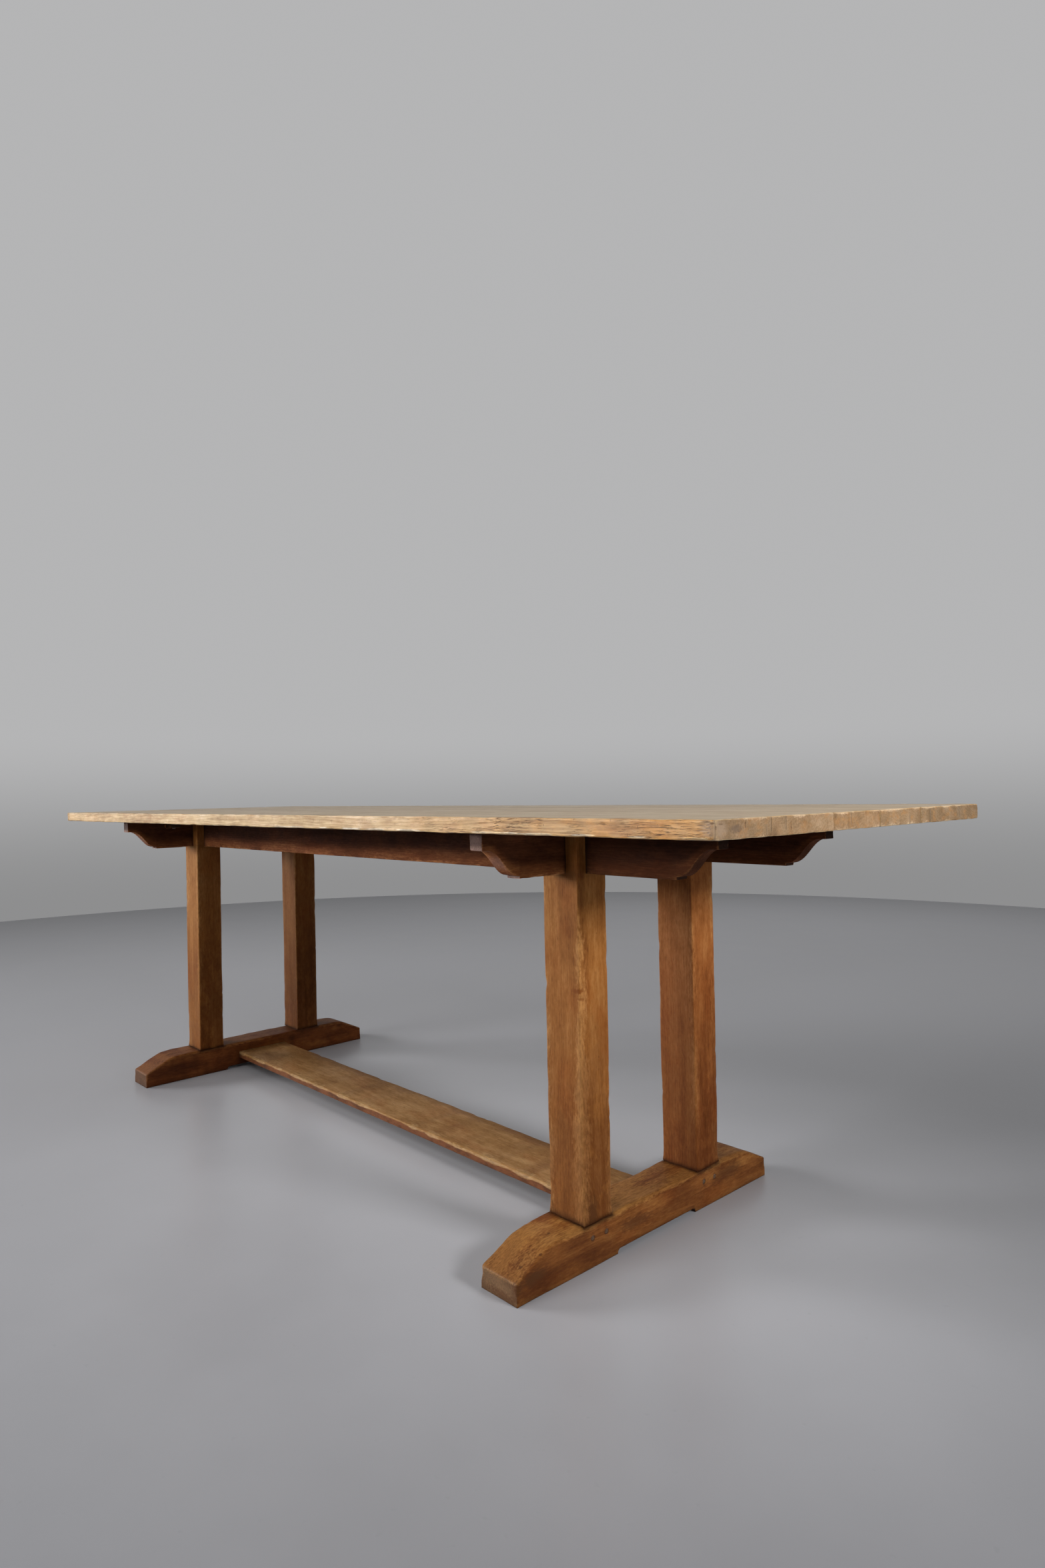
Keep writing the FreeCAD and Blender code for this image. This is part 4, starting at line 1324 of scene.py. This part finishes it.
def near_post_marks():
    """Dents and stains on the front arrises of the right front post."""
    low, high = box_of("post_right_front")
    marks = [((high[X], low[Y], z), np.array([9, 9, 5]) * MM, 0.6 * MM) for z, _, _ in KNOTS]
    marks.append(((low[X], low[Y], CHIP_HEIGHT), np.array([6, 6, 9]) * MM, 2.2 * MM))
    stains = [((high[X] - 2 * MM, low[Y] + 2 * MM, z), size, strength, KNOT_COLOUR)
              for z, size, strength in KNOTS]
    stains += [
        ((high[X], low[Y] + 22 * MM, FOOT_TOP + 14 * MM), (9, 12, 30), 0.95, STAIN_AND_CREVICE_SHADE_COLOUR),
        ((high[X] - 40 * MM, low[Y], FOOT_TOP + 4 * MM), (40, 8, 9), 0.5, STAIN_AND_CREVICE_SHADE_COLOUR)]
    return marks, stains


def foot_stains(end_name):
    """Darker rings round the peg heads, and the dark patches along the outer side of a foot."""
    end = ENDS[end_name]
    low, high = box_of("foot_" + end_name)
    side_x, tip_y = (high[X], low[Y]) if end == RIGHT else (low[X], high[Y])
    _, peg_z, _ = draw_peg_start(end_name)
    stains = [((side_x, y, peg_z), (6, 6.5, 8), 0.75, PEG_RIM) for y in PEG_YS]
    stains += [((side_x, y * end, z), size, strength, STAIN_AND_CREVICE_SHADE_COLOUR)
               for y, z, size, strength in FOOT_PATCHES]
    stains += [((side_x - end * 36 * MM, tip_y, 8 * MM), (34, 4, 9), 0.6, STAIN_AND_CREVICE_SHADE_COLOUR),
               ((side_x - end * 5 * MM, tip_y, 20 * MM), (12, 4, 18), 0.5, STAIN_AND_CREVICE_SHADE_COLOUR)]
    return stains + [((side_x - end * across, y * end, z), (3.5, 4, 3), 0.9, STAIN_AND_CREVICE_SHADE_COLOUR)
                     for across, y, z in FOOT_PITS]


def top_corner_stains():
    """Dirt at the near corner of the top, and painted shade along the splits of its end."""
    low, high = TOP[0]
    end_x, middle = high[X], (low[Z] + high[Z]) / 2
    return [((end_x, DIRTY_Y, middle), (5, 15, 6), 0.75, DIRT_COLOUR),
            # Dark lines along the two splits: painted shade in the cracks
            ((end_x, SPLIT_YS[0], middle - 2 * MM), (5, 0.9, 6), 1.0, STAIN_AND_CREVICE_SHADE_COLOUR),
            ((end_x, SPLIT_YS[1], middle + 4 * MM), (5, 0.8, 5), 0.9, STAIN_AND_CREVICE_SHADE_COLOUR),
            ((end_x - 6 * MM, low[Y] + 6 * MM, middle), (17, 17, 12), 0.6, PALE_DIRT)] + [
        ((end_x - across * MM, low[Y] + along * MM, high[Z] - down * MM), size, 0.65,
         STAIN_AND_CREVICE_SHADE_COLOUR) for across, along, down, size in CORNER_SPECKS]


# ---- the whole table ----

def build_top():
    for number, name in enumerate(BOARDS):
        tones = shade_of(TOP_TONES, BOARD_GAINS[number])
        tones["end_tone"] = tuple(np.multiply(tones["end_tone"], END_GAINS[number]))
        stains = top_corner_stains() if number == 0 else ()
        top_board(name, number, wood("top_%s_wood" % name, X, 40 + number, **tones,
                                     **TOP_LOOK, stains=stains))
    tongues(wood("tongue_wood", X, 48, **POST_TONES))


def build_trestles():
    marks, stains = near_post_marks()
    left_front_shade_tones = shade_of(POST_TONES, LEFT_FRONT_POST_SHADE_GAIN)
    shaded_tones = shade_of(POST_TONES, SHADED_POST_GAIN)
    post("right", "front", 500, wood("post_a_wood", Z, 51, **POST_TONES, **POST_LOOK,
                                     stains=stains, rub=0.7), marks)
    post("right", "back", 510, wood("post_b_wood", Z, 52, **RED_POST, **POST_LOOK, rub=0.4))
    # The left posts take darker tones as painted shade
    post("left", "front", 520, wood("post_c_wood", Z, 53, **left_front_shade_tones, **POST_LOOK))
    post("left", "back", 530, wood("post_d_wood", Z, 54, **shaded_tones, **POST_LOOK))
    for number, end_name in enumerate(ENDS):
        tones = shade_of(FOOT_TONES, LEFT_FOOT_SHADE_GAIN if end_name == "left" else (1, 1, 1))
        foot(end_name, 600 + 10 * number,
             wood("foot_%s_wood" % end_name, Y, 61 + number, **tones, fleck=0.3, rub=0.5,
                  stains=foot_stains(end_name)))
        member("bearer_" + end_name, Y, 700 + 10 * number,
               wood("bearer_%s_wood" % end_name, Y, 71 + number, **BEARER_TONES, **SHADED_UNDER_TOP_LOOK))


def build_ties():
    for number, side_name in enumerate(SIDES):
        member("rail_" + side_name, X, 730 + 10 * number,
               wood("rail_%s_wood" % side_name, X, 81 + number, **LONG_RAIL_TONES,
                    **SHADED_UNDER_TOP_LOOK))
    stretcher(800, wood("stretcher_wood", X, 91, **STRETCHER_TONES, **STRETCHER_LOOK))


def build_fastenings():
    for number, (end_name, end) in enumerate(ENDS.items()):
        outer, z, length = draw_peg_start(end_name)
        pegs("draw_pegs_" + end_name, [(outer, y, z) for y in PEG_YS], (-end, 0, 0), length,
             PEG_R, 900 + 10 * number,
             wood("peg_%s_wood" % end_name, X, 95 + number, **PEG_TONES), 14, 0.1)
    upright = wood("dowel_wood", Z, 97, **POST_TONES)
    crossings = [(e * TRESTLE_X, s * POST_Y) for e in (LEFT, RIGHT) for s in (FRONT, BACK)]
    middles = [(stretcher_peg_x(e), 0) for e in (LEFT, RIGHT)]
    for node, places, radius, seed in (("cross_dowels", crossings, DOWEL_R, 930),
                                       ("stretcher_pegs", middles, STRETCHER_PEG_R, 940)):
        low, high = box_of(node)
        pegs(node, [(x, y, low[Z]) for x, y in places], UP, high[Z] - low[Z], radius, seed,
             upright)
    buttons(wood("button_wood", X, 98, **SHADED_RAIL_TONES))
    screws(steel())


def main():
    bpy.context.scene.view_settings.view_transform = "Standard"
    build_top()
    build_trestles()
    build_ties()
    build_fastenings()
    stage()
    lights()
    camera()


main()
